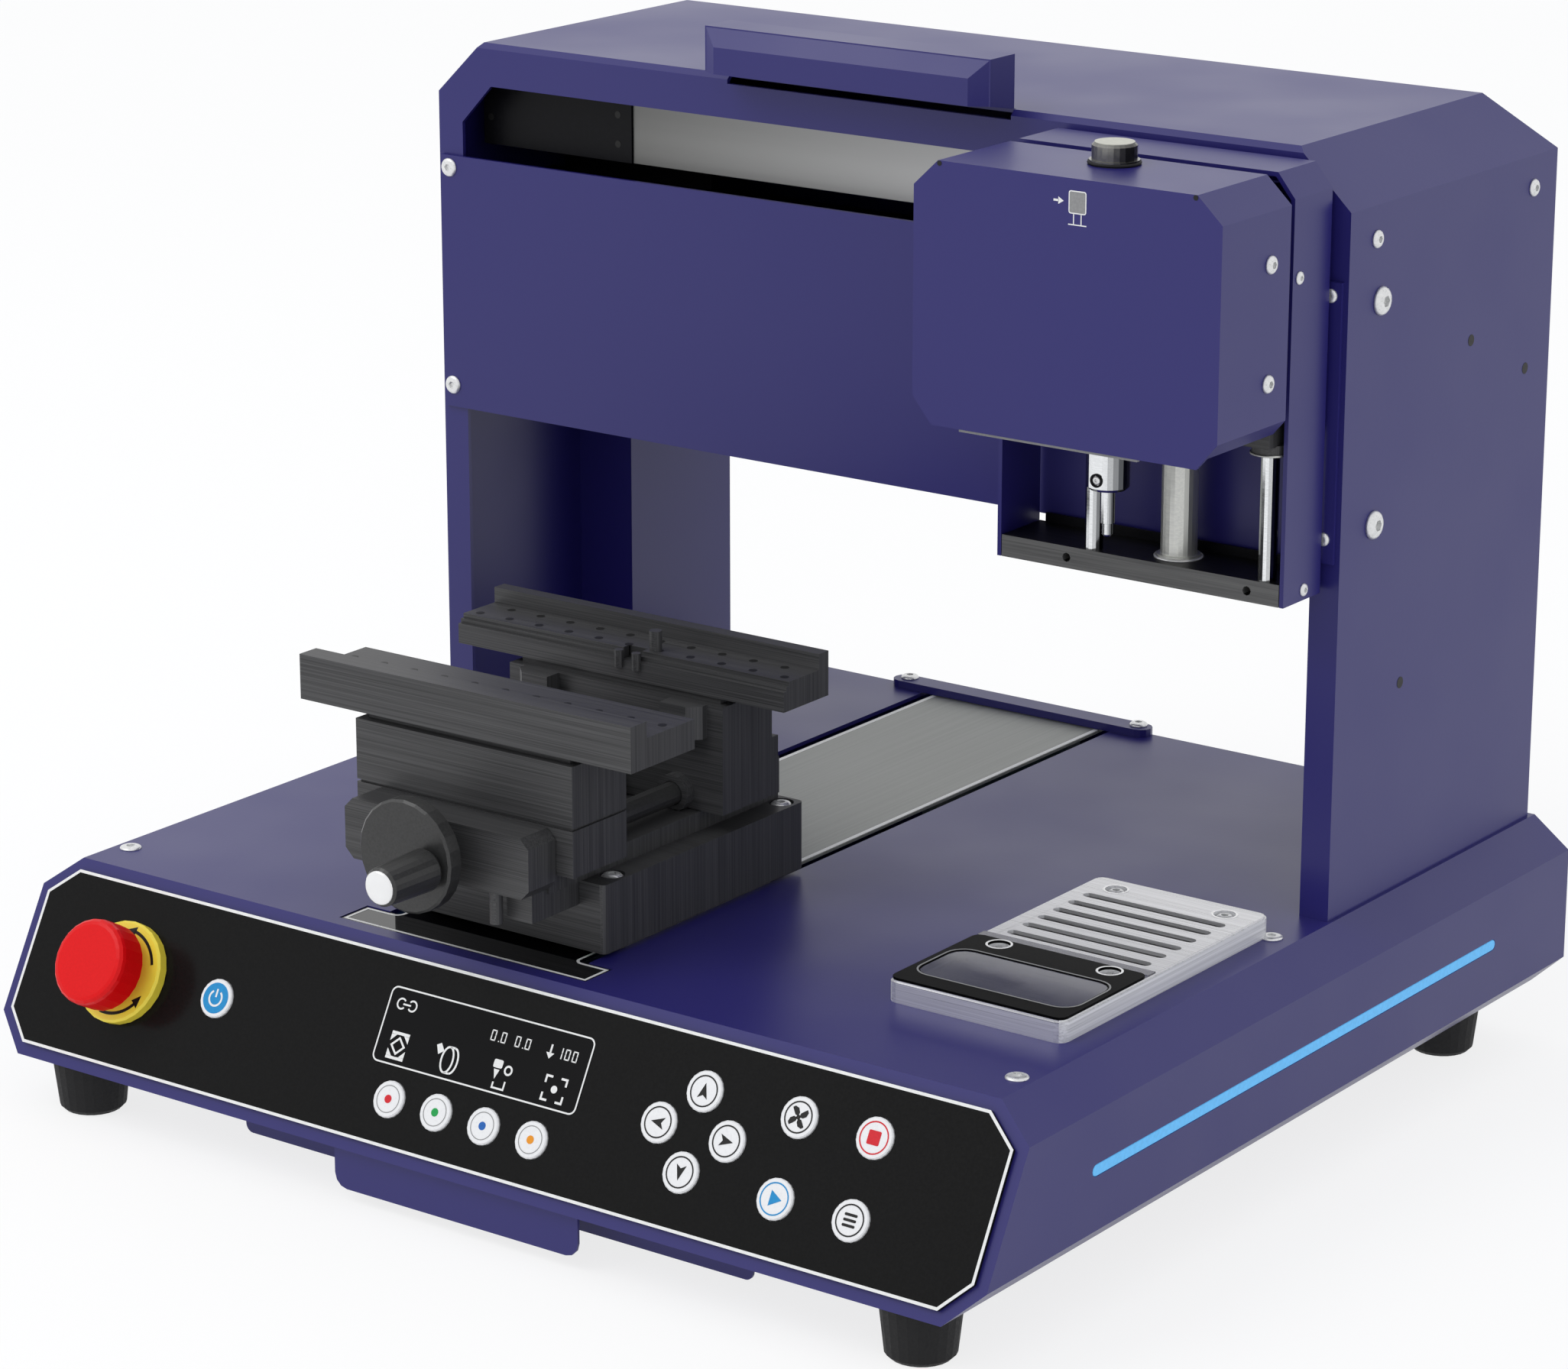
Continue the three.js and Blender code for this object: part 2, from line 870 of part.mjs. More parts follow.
function makeStop() {
  const seat = panelFace + gap;
  const ringTop = seat + stop.ringHeight;
  const bore = stop.stemRadius + gap;
  const ring = turned([
    [bore, -stop.barrelDepth],
    [stop.barrelRadius, -stop.barrelDepth],
    [stop.barrelRadius, seat],
    [stop.ringRadius, seat],
    [stop.ringRadius, ringTop - stop.ringEdge],
    [stop.ringRadius - stop.ringEdge, ringTop],
    [bore, ringTop],
    [bore, -stop.barrelDepth],
  ], stopX, stopRise);
  const nutTop = -sheet - gap;
  const nut = turned([
    [stop.barrelRadius - gap, nutTop - stop.nutHeight],
    [stop.nutRadius, nutTop - stop.nutHeight],
    [stop.nutRadius, nutTop],
    [stop.barrelRadius - gap, nutTop],
    [stop.barrelRadius - gap, nutTop - stop.nutHeight],
  ], stopX, stopRise);
  piece('estop_ring', 'yellow', join(ring, nut), front);
  const under = panelFace + stop.headLift;
  const crown = under + stop.headHeight;
  const round = stop.headRound;
  const rim = Array.from({ length: cornerSteps + 1 }, (_, k) => {
    const angle = (k * Math.PI) / (2 * cornerSteps);
    return [
      stop.headRadius - round + round * Math.cos(angle),
      crown - round + round * Math.sin(angle),
    ];
  });
  const button = turned([
    [0, -stop.barrelDepth],
    [stop.stemRadius, -stop.barrelDepth],
    [stop.stemRadius, ringTop + stop.ringHeight + gap],
    [stop.neckRadius, under],
    [stop.headRadius - stop.ringEdge, under],
    [stop.headRadius, under + stop.ringEdge],
    ...rim,
    [0, crown],
  ], stopX, stopRise);
  piece('estop_button', 'red', button, front);
}

function makeBands() {
  const half = band.width / 2;
  const mouth = slot.mouthWidth / 2 - gap;
  const seamY = slotFrontY + band.frontLength;
  const frontBand = mirrored([
    [mouth, slotFrontY + gap],
    [mouth, slotNeckY - gap],
    [half, slotNeckY - gap],
    [half, seamY],
  ], slot.x);
  piece('cover_band_front', 'black', alongZ(frontBand, bandZ, bandZ + band.thickness));
  const rear = box(slot.x - half, slot.x + half, seamY + gap, rearY, bandZ, bandZ + band.thickness);
  piece('cover_band_rear', 'band', rear);
  const barHalf = clampBar.width / 2;
  const barRear = rearY + clampBar.overhang;
  const bar = stadium(slot.x - barHalf, slot.x + barHalf, barRear - clampBar.depth, barRear);
  piece('band_bracket', 'blue', alongZ(bar, top, top + clampBar.height));
}

function makeDrive() {
  const x = slot.x;
  const plateHalf = drive.plateWidth / 2;
  const plateTop = floorZ + drive.plateHeight;
  const plate = box(x - plateHalf, x + plateHalf, drive.frontY, drive.rearY, floorZ, plateTop);
  const endHalf = drive.endWidth / 2;
  const endTop = bandZ - gap;
  const frontEnd = box(
    x - endHalf, x + endHalf, drive.frontY, drive.frontY + drive.endThickness, floorZ, endTop,
  );
  const rearEnd = box(
    x - endHalf, x + endHalf, drive.rearY - drive.endThickness, drive.rearY, floorZ, endTop,
  );
  const railTop = plateTop + drive.railHeight;
  const guides = [-1, 1].map((side) => {
    const centre = x + (side * drive.railSpread) / 2;
    const half = drive.railWidth / 2;
    return box(centre - half, centre + half, drive.frontY, drive.rearY, floorZ, railTop);
  });
  const screw = turnedY([
    [0, drive.frontY],
    [drive.screwRadius, drive.frontY],
    [drive.screwRadius, drive.rearY],
    [0, drive.rearY],
  ], x, floorZ + drive.screwRise);
  const motorHalf = drive.motorSize / 2;
  const motorZ = floorZ + drive.motorRise;
  const motor = box(
    x - motorHalf, x + motorHalf, drive.frontY - drive.motorDepth, drive.frontY + gap,
    motorZ, motorZ + drive.motorSize,
  );
  piece('y_drive', 'black', join(plate, frontEnd, rearEnd, ...guides, screw, motor));
}

function makeTable() {
  const x = slot.x;
  const half = drive.plateWidth / 2;
  const rearEdge = table.frontY + table.length;
  const railTop = floorZ + drive.plateHeight + drive.railHeight;
  const bottom = floorZ + drive.plateHeight + gap;
  const deckZ = bottom + table.height;
  const block = box(x - half, x + half, table.frontY, rearEdge, bottom, deckZ + table.deck);
  const channels = [-1, 1].map((side) => {
    const centre = x + (side * drive.railSpread) / 2;
    const wide = drive.railWidth / 2 + gap;
    return box(
      centre - wide, centre + wide, table.frontY - overrun, rearEdge + overrun,
      bottom - overrun, railTop + gap,
    );
  });
  const bore = turnedY([
    [0, table.frontY - overrun],
    [drive.screwRadius + gap, table.frontY - overrun],
    [drive.screwRadius + gap, rearEdge + overrun],
    [0, rearEdge + overrun],
  ], x, floorZ + drive.screwRise);
  const legInner = band.width / 2 + gap;
  const legOuter = slot.width / 2 - gap;
  const deck = box(x - legOuter, x + legOuter, table.frontY, rearEdge, deckZ, deckZ + table.deck);
  const legs = [-1, 1].map((side) => {
    const a = x + side * legInner;
    const b = x + side * legOuter;
    return box(Math.min(a, b), Math.max(a, b), table.frontY, rearEdge, deckZ, top + table.lift);
  });
  piece('y_carriage', 'aluminium', join(cut(block, ...channels, bore), deck, ...legs));
}

function trayFrontY() {
  return frontFootY + tray.frontInset;
}

function trayRearY() {
  return trayFrontY() + tray.length;
}

function makeTray() {
  const half = tray.width / 2;
  const trayTop = underside - gap;
  const floor = trayTop - tray.depth;
  const pan = box(-half, half, trayFrontY(), trayRearY(), floor, trayTop);
  const hollow = box(
    -half + tray.wall, half - tray.wall, trayFrontY() + tray.wall, trayRearY() - tray.wall,
    floor + tray.wall, trayTop + overrun,
  );
  const tabHalf = tray.tabWidth / 2;
  const tabY = trayFrontY() - tray.tabReach;
  const shelf = box(-tabHalf, tabHalf, tabY, trayFrontY() + tray.wall, trayTop - tray.wall, trayTop);
  const tabOutline = [
    [-tabHalf, trayTop],
    ...rounded(rectangle(-tabHalf, tabHalf, trayTop - tray.tabDrop, trayTop), tray.tabCorner)
      .filter(([, z]) => z < trayTop - tray.tabCorner),
    [tabHalf, trayTop],
  ];
  const tab = alongY(tabOutline, tabY - tray.wall, tabY);
  piece('chip_tray', 'blue', join(cut(pan, hollow), shelf, tab));
}

function makeRear() {
  const outline = inset(baseSection, sheet + gap);
  const yBack = rearY - sheet;
  const plate = alongY(outline, yBack, rearY);
  const z = underside + inlet.rise;
  const wide = inlet.width / 2;
  const tall = inlet.height / 2;
  const flange = alongY(
    rounded(rectangle(inletX - wide, inletX + wide, z - tall, z + tall), inlet.corner),
    yBack,
    rearY + inlet.proud,
  );
  const socketWide = inlet.socketWidth / 2;
  const socketTall = inlet.socketHeight / 2;
  const mouth = rounded(
    rectangle(inletX - socketWide, inletX + socketWide, z - socketTall, z + socketTall),
    inlet.socketCorner,
  );
  const shell = rounded(
    rectangle(
      inletX - socketWide - inlet.wall, inletX + socketWide + inlet.wall,
      z - socketTall - inlet.wall, z + socketTall + inlet.wall,
    ),
    inlet.socketCorner + inlet.wall,
  );
  const depthY = rearY + inlet.proud - inlet.depth;
  const body = alongY(shell, depthY - inlet.wall, rearY);
  const hollow = alongY(mouth, depthY, rearY + inlet.proud + overrun);
  const blades = [-1, 0, 1].map((place) => {
    const x = inletX + place * inlet.bladePitch;
    const lower = z - inlet.bladeHeight / 2 + (place === 0 ? inlet.bladeDrop : -inlet.bladeDrop);
    return box(
      x - inlet.bladeWidth / 2, x + inlet.bladeWidth / 2,
      depthY - inlet.wall / 2, depthY + inlet.bladeLength,
      lower, lower + inlet.bladeHeight,
    );
  });
  piece('rear_panel', 'blue', join(cut(join(plate, flange, body), hollow), ...blades));
}

function makeRack() {
  const right = topHalfWidth - rack.sideInset;
  const left = right - rack.width;
  const frontEdge = frontTopY + rack.frontInset;
  const rearEdge = frontEdge + rack.depth;
  const middle = (left + right) / 2;
  const outline = rounded(rectangle(left, right, frontEdge, rearEdge), rack.corner);
  const upper = top + rack.height;
  const block = join(
    alongZ(outline, top, upper - rack.chamfer),
    alongZ(inset(outline, rack.chamfer), upper - rack.chamfer, upper),
  );
  const slots = Array.from({ length: rack.slotCount }, (_, i) => {
    const y = rearEdge - rack.slotRearInset - i * rack.slotPitch;
    const half = rack.slotWidth / 2;
    const reach = rack.slotLength / 2;
    const groove = stadium(middle - reach, middle + reach, y - half, y + half);
    return alongZ(groove, upper - rack.slotDepth, upper + overrun);
  });
  const windowHalf = rack.windowWidth / 2;
  const windowFront = frontEdge + rack.windowFrontInset;
  const windowOutline = rounded(
    rectangle(middle - windowHalf, middle + windowHalf, windowFront, windowFront + rack.windowDepth),
    rack.windowCorner,
  );
  const pocket = alongZ(windowOutline, upper - rack.pocketDepth, upper + overrun);
  const screwX = [-1, 1].map((side) => middle + (side * rack.screwPitchX) / 2);
  const rearScrews = screwX.map((x) => circle(x, rearEdge - rack.rearScrewInset, rack.screwRadius));
  const frontScrews = screwX.map((x) => circle(x, frontEdge + rack.frontScrewInset, rack.screwRadius));
  const recesses = [...rearScrews, ...frontScrews].map(
    (ring) => alongZ(ring, upper - rack.screwDepth, upper + overrun),
  );
  piece('rack_block', 'aluminium', cut(block, ...slots, pocket, ...recesses));
  const plateOutline = rounded(
    rectangle(
      left + rack.chamfer, right - rack.chamfer,
      frontEdge + rack.chamfer, frontEdge + rack.plateDepth,
    ),
    rack.corner - rack.chamfer,
  );
  const plate = alongZ(
    plateOutline, upper, upper + rack.plateThickness, [windowOutline, ...frontScrews],
  );
  piece('rack_plate', 'black', plate);
  const pane = alongZ(inset(windowOutline, gap), upper, upper + rack.plateThickness - gap);
  piece('rack_window', 'clear', pane);
}

// Section of the gantry in (x, z) and its side outline in (y, z)
const gantrySection = mirrored([
  [gantryHalf, top],
  [gantryHalf, gantryTop - gantry.cornerDrop],
  [gantryHalf - gantry.cornerWidth, gantryTop],
]);
const gantrySide = [
  [gantryFrontY, top],
  [gantryRearY, top],
  [gantryRearY, gantryTop - gantry.cornerDrop],
  [gantryRearY - gantry.rearRun, gantryTop],
  [gantryFrontY + gantry.frontFold, gantryTop],
  [gantryFrontY, gantryTop - gantry.frontFold],
];

// The gantry's outer form or the space inside its sheet
function gantryForm(thickness) {
  const section = inset(gantrySection, thickness);
  const side = inset(gantrySide, thickness);
  const lower = thickness > 0 ? overrun : 0;
  const opened = (points) => points.map(([a, z]) => [a, z < top + overrun ? top - lower : z]);
  return alongY(opened(section), gantryFrontY + thickness, gantryRearY - thickness)
    .intersect(alongX(opened(side), -gantryHalf + thickness, gantryHalf - thickness));
}

function makeGantry() {
  const posts = gantryHalf - gantry.postWidth;
  const inside = gantryHalf - sheet;
  const across = gantryHalf + overrun;
  const portal = box(
    -posts, posts, gantryFrontY - overrun, gantryRearY + overrun, top - overrun, portalZ,
  );
  const border = gantryHalf - gantry.windowBorder;
  const windowOutline = mirrored([
    [border, top - overrun],
    [border, windowZ],
    [border, windowZ + gantry.windowShoulder],
    [border - gantry.windowCorner, top + gantry.windowTop],
  ]);
  const windowCut = alongY(windowOutline, gantryFrontY - overrun, gantryFrontY + sheet + overrun);
  const shell = cut(gantryForm(0), gantryForm(sheet), portal, windowCut);
  const postFront = gantryRearY - gantry.postDepth;
  const underSheet = box(
    -inside, inside, gantryFrontY + sheet + overrun, gantryRearY - sheet / 2, portalZ, portalZ + sheet,
  );
  const walls = [-1, 1].flatMap((side) => {
    const a = side * posts;
    const b = side * (posts + sheet);
    const c = side * (inside + sheet / 2);
    return [
      box(Math.min(a, b), Math.max(a, b), postFront, gantryRearY - sheet / 2, top, portalZ + sheet),
      box(Math.min(a, c), Math.max(a, c), postFront, postFront + sheet, top, portalZ + sheet),
    ];
  });
  const hoodSlot = box(
    -hood.width / 2, hood.width / 2, gantryFrontY - overrun, gantryFrontY + gantry.frontFold + sheet,
    gantryTop - gantry.frontFold - sheet, gantryTop + overrun,
  );
  const whole = cut(join(shell, underSheet, ...walls), hoodSlot);
  const trim = box(-across, across, gantryFrontY - overrun, gantryRearY + overrun, top - overrun, top);
  piece('gantry_shell', 'blue', cut(whole, trim));
}

function makeFrontCover() {
  const half = gantryHalf - frontCover.sideInset;
  const plate = box(
    -half, half, coverFrontY, gantryFrontY, portalZ, windowZ - frontCover.windowGap,
  );
  piece('front_cover', 'blue', plate);
}

function makeGuide() {
  const half = gantryHalf - sheet - gap;
  const beamY = gantryFrontY + rail.beamSetback;
  const beamZ = top + rail.beamRise;
  const beamTop = beamZ + rail.beamHeight;
  const beam = box(-half, half, beamY, beamY + rail.beamDepth, beamZ, beamTop);
  const railZ = top + rail.railRise;
  const track = box(-half, half, beamY - rail.railDepth, beamY + gap, railZ, railZ + rail.railHeight);
  const plateY = gantryFrontY + rail.plateSetback;
  const plateZ = windowZ + rail.slotHeight;
  const plateTop = plateZ + rail.curtainTop + rail.bracketRise;
  const bracketZ = plateZ + rail.bracketRise;
  // Bracket above the arm's path: plate, shelf and leg down to the beam
  const legInner = beamY + rail.beamDepth - rail.bracketThickness;
  const profile = [
    [plateY, plateZ],
    [plateY + rail.plateThickness, plateZ],
    [plateY + rail.plateThickness, bracketZ],
    [legInner, bracketZ],
    [legInner, beamTop - gap],
    [beamY + rail.beamDepth, beamTop - gap],
    [beamY + rail.beamDepth, bracketZ + rail.bracketThickness],
    [plateY + rail.plateThickness, bracketZ + rail.bracketThickness],
    [plateY + rail.plateThickness, plateTop],
    [plateY, plateTop],
  ];
  const corner = gantryHalf - gantry.windowBorder;
  const ends = [
    alongX(profile, -corner, -rail.curtainEnd),
    alongX(profile, rail.curtainEnd, corner),
  ];
  piece('x_guide', 'black', join(beam, track, ...ends));
  const curtainY = gantryFrontY + curtain.setback;
  const sheetHalf = rail.curtainEnd - gap;
  const cloth = box(
    -sheetHalf, sheetHalf, curtainY, curtainY + curtain.thickness, plateZ, plateTop,
  );
  piece('x_curtain', 'band', cloth);
}

function makeHood() {
  const rearPlane = gantryFrontY + gantry.frontFold;
  const frontPlane = rearPlane - hood.depth;
  const nosePlane = frontPlane - hood.nose;
  const bottom = gantryTop + hood.lift;
  const upper = bottom + hood.height;
  const form = (wall) => {
    const half = hood.width / 2 - wall;
    const low = wall > 0 ? bottom - overrun : bottom;
    const high = upper - wall;
    const noseHalf = half - hood.bevel;
    const noseTop = high - hood.bevel;
    const body = box(-half, half, frontPlane, rearPlane - wall, low, high);
    const nose = wedgeY(
      [-half, half, low, high], frontPlane + gap,
      [-noseHalf, noseHalf, low, noseTop], nosePlane + wall,
    );
    return join(body, nose);
  };
  const cheeks = [-1, 1].map((side) => {
    const a = side * (hood.width / 2);
    const b = side * (hood.width / 2 - sheet);
    const outline = [
      [frontPlane, bottom],
      [rearPlane, bottom],
      [rearPlane, gantryTop + gap],
      [rearPlane - hood.lip, gantryTop + gap],
    ];
    return alongX(outline, Math.min(a, b), Math.max(a, b));
  });
  const back = box(
    -hood.width / 2, hood.width / 2, rearPlane - hood.lip, rearPlane,
    gantryTop + gap, bottom + hood.lift,
  );
  piece('cable_hood', 'blue', join(cut(form(0), form(sheet)), back, ...cheeks));
}

// Outline of the head carriage in (x, z)
const carriageOutline = mirrored([
  [carriage.width / 2, carriageBottom],
  [carriage.width / 2, carriageTop - carriage.cornerDrop],
  [carriage.width / 2 - carriage.cornerWidth, carriageTop],
], (carriageLeft + carriageRight) / 2);

function makeCarriage() {
  const inner = inset(carriageOutline, sheet).map(([x, z], i, all) => {
    const lowest = i === 0 || i === all.length - 1;
    return [x, lowest ? carriageBottom - overrun : z];
  });
  const hoop = cut(
    alongY(carriageOutline, carriageFrontY, carriageRearY),
    alongY(inner, carriageFrontY - overrun, carriageRearY + overrun),
  );
  const backZ = carriageBottom + carriage.backRise;
  const back = box(
    carriageLeft + sheet / 2, carriageRight - sheet / 2,
    carriageRearY - carriage.backThickness, carriageRearY,
    backZ, carriageTop - carriage.cornerDrop,
  );
  const armLeft = toolX - carriage.armWidth / 2;
  const armRight = toolX + carriage.armWidth / 2;
  const armZ = windowZ + carriage.armLift - frontCover.windowGap;
  const armTop = armZ + carriage.armThickness;
  const trackY = gantryFrontY + rail.beamSetback - rail.railDepth;
  const shoeFront = trackY - gap - carriage.shoeThickness;
  const arm = box(armLeft, armRight, carriageRearY - gap, trackY - gap, armZ, armTop);
  const railZ = top + rail.railRise;
  const shoeZ = railZ - carriage.shoeBelow;
  const shoe = box(armLeft, armRight, shoeFront, trackY - gap, shoeZ, armTop);
  const railTop = railZ + rail.railHeight;
  const lips = [
    box(armLeft, armRight, shoeFront, trackY + carriage.shoeLip, shoeZ, railZ - gap),
    box(
      armLeft, armRight, shoeFront, trackY + carriage.shoeLip,
      railTop + gap, railTop + carriage.shoeBelow,
    ),
  ];
  piece('x_carriage', 'blue', join(hoop, back, arm, shoe, ...lips));
}

const rodPlaces = {
  guide_rod_left: [carriageLeft + rods.leftInset, carriageFrontY + rods.setback],
  guide_rod_right: [carriageRight - rods.rightInset, carriageFrontY + rods.setback],
};
const sleevePlace = [carriageLeft + rods.sleeveInset, carriageFrontY + rods.sleeveSetback];

function makeColumnParts() {
  const plateTop = carriageBottom + headPlate.height;
  const rodTop = carriageTop - carriage.cornerDrop - sheet - gap;
  const plate = box(
    carriageLeft + sheet + gap, carriageRight - sheet - gap,
    carriageFrontY, carriageRearY, carriageBottom, plateTop,
  );
  const drill = (x) => turnedY([
    [0, carriageFrontY - overrun],
    [headPlate.holeRadius, carriageFrontY - overrun],
    [headPlate.holeRadius, carriageFrontY + headPlate.holeDepth],
    [0, carriageFrontY + headPlate.holeDepth],
  ], x, carriageBottom + headPlate.holeRise, holeSides);
  const holeLeft = carriageLeft + headPlate.holeInset;
  const holeRight = carriageRight - headPlate.holeInset / 2;
  piece('z_bottom_plate', 'black', cut(plate, drill(holeLeft), drill(holeRight)));
  for (const [name, [x, y]] of Object.entries(rodPlaces)) {
    piece(name, 'steel', alongZ(circle(x, y, rods.radius, rodSides), plateTop, rodTop));
  }
  const [x, y] = sleevePlace;
  const footTop = plateTop + rods.sleeveFootHeight;
  piece('centre_sleeve', 'aluminium', turned([
    [0, plateTop],
    [rods.sleeveFootRadius, plateTop],
    [rods.sleeveFootRadius, footTop],
    [rods.sleeveRadius, footTop],
    [rods.sleeveRadius, rodTop],
    [0, rodTop],
  ], x, y));
}

function makeHeadBlock() {
  const blockZ = carriageBottom + head.blockRise;
  const blockTop = blockZ + head.blockHeight;
  const block = box(
    carriageLeft + head.blockSideGap, carriageRight - head.blockSideGap,
    carriageFrontY - head.blockFront, carriageRearY - carriage.backThickness - gap,
    blockZ, blockTop,
  );
  const noseZ = carriageBottom + head.noseRise;
  const noseHalf = head.noseWidth / 2;
  const nose = box(
    toolX - noseHalf, toolX + noseHalf, carriageFrontY - head.reach, carriageFrontY,
    noseZ, noseZ + head.noseHeight,
  );
  const yokeZ = carriageBottom + head.yokeRise;
  const yokeRear = carriageFrontY - head.yokeFront;
  const yoke = box(
    carriageLeft - cover.overhang + sheet + gap, carriageRight + cover.overhang - sheet - gap,
    yokeRear - head.yokeDepth, yokeRear, yokeZ, yokeZ + head.yokeHeight,
  );
  const places = Object.values(rodPlaces);
  const bushes = places.map(([x, y]) => turned([
    [0, blockZ - head.bushDrop],
    [head.bushRadius, blockZ - head.bushDrop],
    [head.bushRadius, blockZ + gap],
    [0, blockZ + gap],
  ], x, y));
  const low = carriageBottom;
  const high = carriageTop + overrun;
  const bores = [
    ...places.map(([x, y]) => alongZ(circle(x, y, rods.radius + gap, rodSides), low, high)),
    alongZ(circle(...sleevePlace, rods.sleeveRadius + gap), low, high),
    alongZ(circle(toolX, toolY, tool.spindleRadius + gap, rodSides), low, high),
  ];
  piece('head_block', 'black', cut(join(block, nose, yoke, ...bushes), ...bores));
}

function makeHeadCover() {
  const coverZ = carriageBottom + cover.rise;
  const coverTop = coverZ + cover.height;
  const middle = (carriageLeft + carriageRight) / 2;
  const half = carriage.width / 2 + cover.overhang;
  const outline = mirrored([
    [half - cover.lowWidth, coverZ],
    [half, coverZ + cover.lowRise],
    [half, coverTop - cover.cornerDrop],
    [half - cover.cornerWidth, coverTop],
  ], middle);
  const inner = inset(outline, sheet).map(([x, z], i, all) => {
    const lowest = i === 0 || i === all.length - 1;
    return [x, lowest ? coverZ - overrun : z];
  });
  const frontY = carriageFrontY - cover.front;
  const backY = carriageFrontY - cover.rear;
  const knobBore = circle(toolX, toolY, knob.stemRadius + gap);
  const shell = cut(
    alongY(outline, frontY, backY),
    alongY(inner, frontY + sheet, backY + overrun),
    alongZ(knobBore, coverTop - sheet - overrun, coverTop + overrun),
  );
  piece('head_cover', 'blue', shell);
  piece('pressure_knob', 'black', turned([
    [0, coverTop - knob.stemLength],
    [knob.stemRadius, coverTop - knob.stemLength],
    [knob.stemRadius, coverTop],
    [knob.flangeRadius, coverTop],
    [knob.flangeRadius, coverTop + knob.flangeHeight],
    [knob.radius, coverTop + knob.flangeHeight],
    [knob.radius, coverTop + knob.height - knob.edge],
    [knob.radius - knob.edge, coverTop + knob.height],
    [0, coverTop + knob.height],
  ], toolX, toolY));
}

function makeTool() {
  const holderZ = carriageBottom + tool.holderRise;
  const holderTop = holderZ + tool.holderHeight;
  const boreTop = holderZ + tool.boreDepth;
  const bore = tool.bitRadius + gap;
  const holder = turned([
    [0, boreTop],
    [bore, boreTop],
    [bore, holderZ],
    [tool.holderRadius - tool.holderEdge, holderZ],
    [tool.holderRadius, holderZ + tool.holderEdge],
    [tool.holderRadius, holderTop],
    [tool.spindleRadius, holderTop],
    [tool.spindleRadius, holderTop + tool.spindleLength],
    [0, holderTop + tool.spindleLength],
  ], toolX, toolY);
  const clampHole = turnedY([
    [0, toolY - tool.holderRadius - overrun],
    [tool.clampRadius, toolY - tool.holderRadius - overrun],
    [tool.clampRadius, toolY - tool.holderRadius + tool.clampDepth],
    [0, toolY - tool.holderRadius + tool.clampDepth],
  ], toolX, holderZ + tool.clampRise, holeSides);
  piece('tool_holder', 'steel', cut(holder, clampHole));
  const shankZ = holderZ - tool.bitDrop;
  const tipZ = shankZ - tool.tipDrop;
  piece('tool_bit', 'steel', turned([
    [0, tipZ],
    [tool.pointRadius, tipZ],
    [tool.tipRadius, tipZ + tool.tipRadius - tool.pointRadius],
    [tool.tipRadius, shankZ - gap],
    [tool.bitRadius, shankZ],
    [tool.bitRadius, boreTop - gap],
    [0, boreTop - gap],
  ], toolX, toolY));
}

function rodY(x, z, radius, from, to) {
  return turnedY([[0, from], [radius, from], [radius, to], [0, to]], x, z, rodSides);
}

const rodLevel = floorOfBedZ - vise.bedHeight + vise.rodRise;
const screwLevel = floorOfBedZ - vise.bedHeight + vise.screwRise;
const bearingRearY = vise.bearingFrontY + vise.bearingThickness;
const bearingZ = bedZ + vise.bearingRise;
const rodEndY = vise.rearPlateY - gap;
const carriageFloor = floorOfBedZ + gap;

function makeViseBase() {
  const x = slot.x;
  const half = vise.baseHalfWidth;
  const bottom = top + table.lift;
  const outline = rounded(
    rectangle(x - half, x + half, vise.baseFrontY, vise.baseRearY), vise.baseCorner,
  );
  const block = alongZ(outline, bottom, bedZ);
  const screws = [-1, 1].flatMap((side) => [
    [x + side * (half - vise.bossInset), vise.baseFrontY + 2 * vise.bossInset],
    [x + side * (half - vise.bossInset), vise.baseRearY - vise.bossInset],
  ]);
  const recesses = screws.map(
    ([a, b]) => alongZ(circle(a, b, vise.bossRadius), bedZ - vise.bossDepth, bedZ + overrun),
  );
  piece('vise_base', 'black', cut(block, ...recesses));
}

function makeViseBed() {
  const x = slot.x;
  const half = vise.bedHalfWidth;
  const floor = box(x - half, x + half, bearingRearY - gap, vise.rearPlateY + gap, bedZ, floorOfBedZ);
  const bearingHalf = vise.bearingHalfWidth;
  const bearingTop = bearingZ + vise.bearingHeight;
  const bearing = alongY(
    mirrored([
      [bearingHalf - vise.bearingChamfer, bearingZ],
      [bearingHalf, bearingZ + vise.bearingChamfer],
      [bearingHalf, bearingTop - vise.bearingChamfer],
      [bearingHalf - vise.bearingChamfer, bearingTop],
    ], x),
    vise.bearingFrontY,
    bearingRearY,
  );
  const rearPlate = box(
    x - half, x + half, vise.rearPlateY, vise.rearPlateY + vise.rearPlateThickness,
    bedZ, bearingTop,
  );
  // Lug of the bed clamp and its pin under the bearing
  const lugX = x + vise.lugX;
  const lug = box(
    lugX - vise.lugWidth / 2, lugX + vise.lugWidth / 2,
    vise.bearingFrontY + vise.lugSetback, vise.baseFrontY - gap,
    bearingZ - vise.lugDrop, bearingZ + gap,
  );
  const pin = alongZ(
    circle(x + vise.pinX, vise.bearingFrontY + vise.pinRadius, vise.pinRadius),
    bearingZ - vise.pinDrop, bearingZ + gap,
  );
  const bore = rodY(
    x, screwLevel, vise.screwRadius + gap,
    vise.bearingFrontY - overrun, bearingRearY + overrun,
  );
  piece('vise_bed', 'black', cut(join(floor, bearing, rearPlate, lug, pin), bore));
  for (const side of [-1, 1]) {
    const rod = rodY(
      x + (side * vise.rodSpread) / 2, rodLevel, vise.rodRadius,
      bearingRearY + gap, rodEndY,
    );
    piece(side < 0 ? 'vise_rod_left' : 'vise_rod_right', 'black', rod);
  }
}

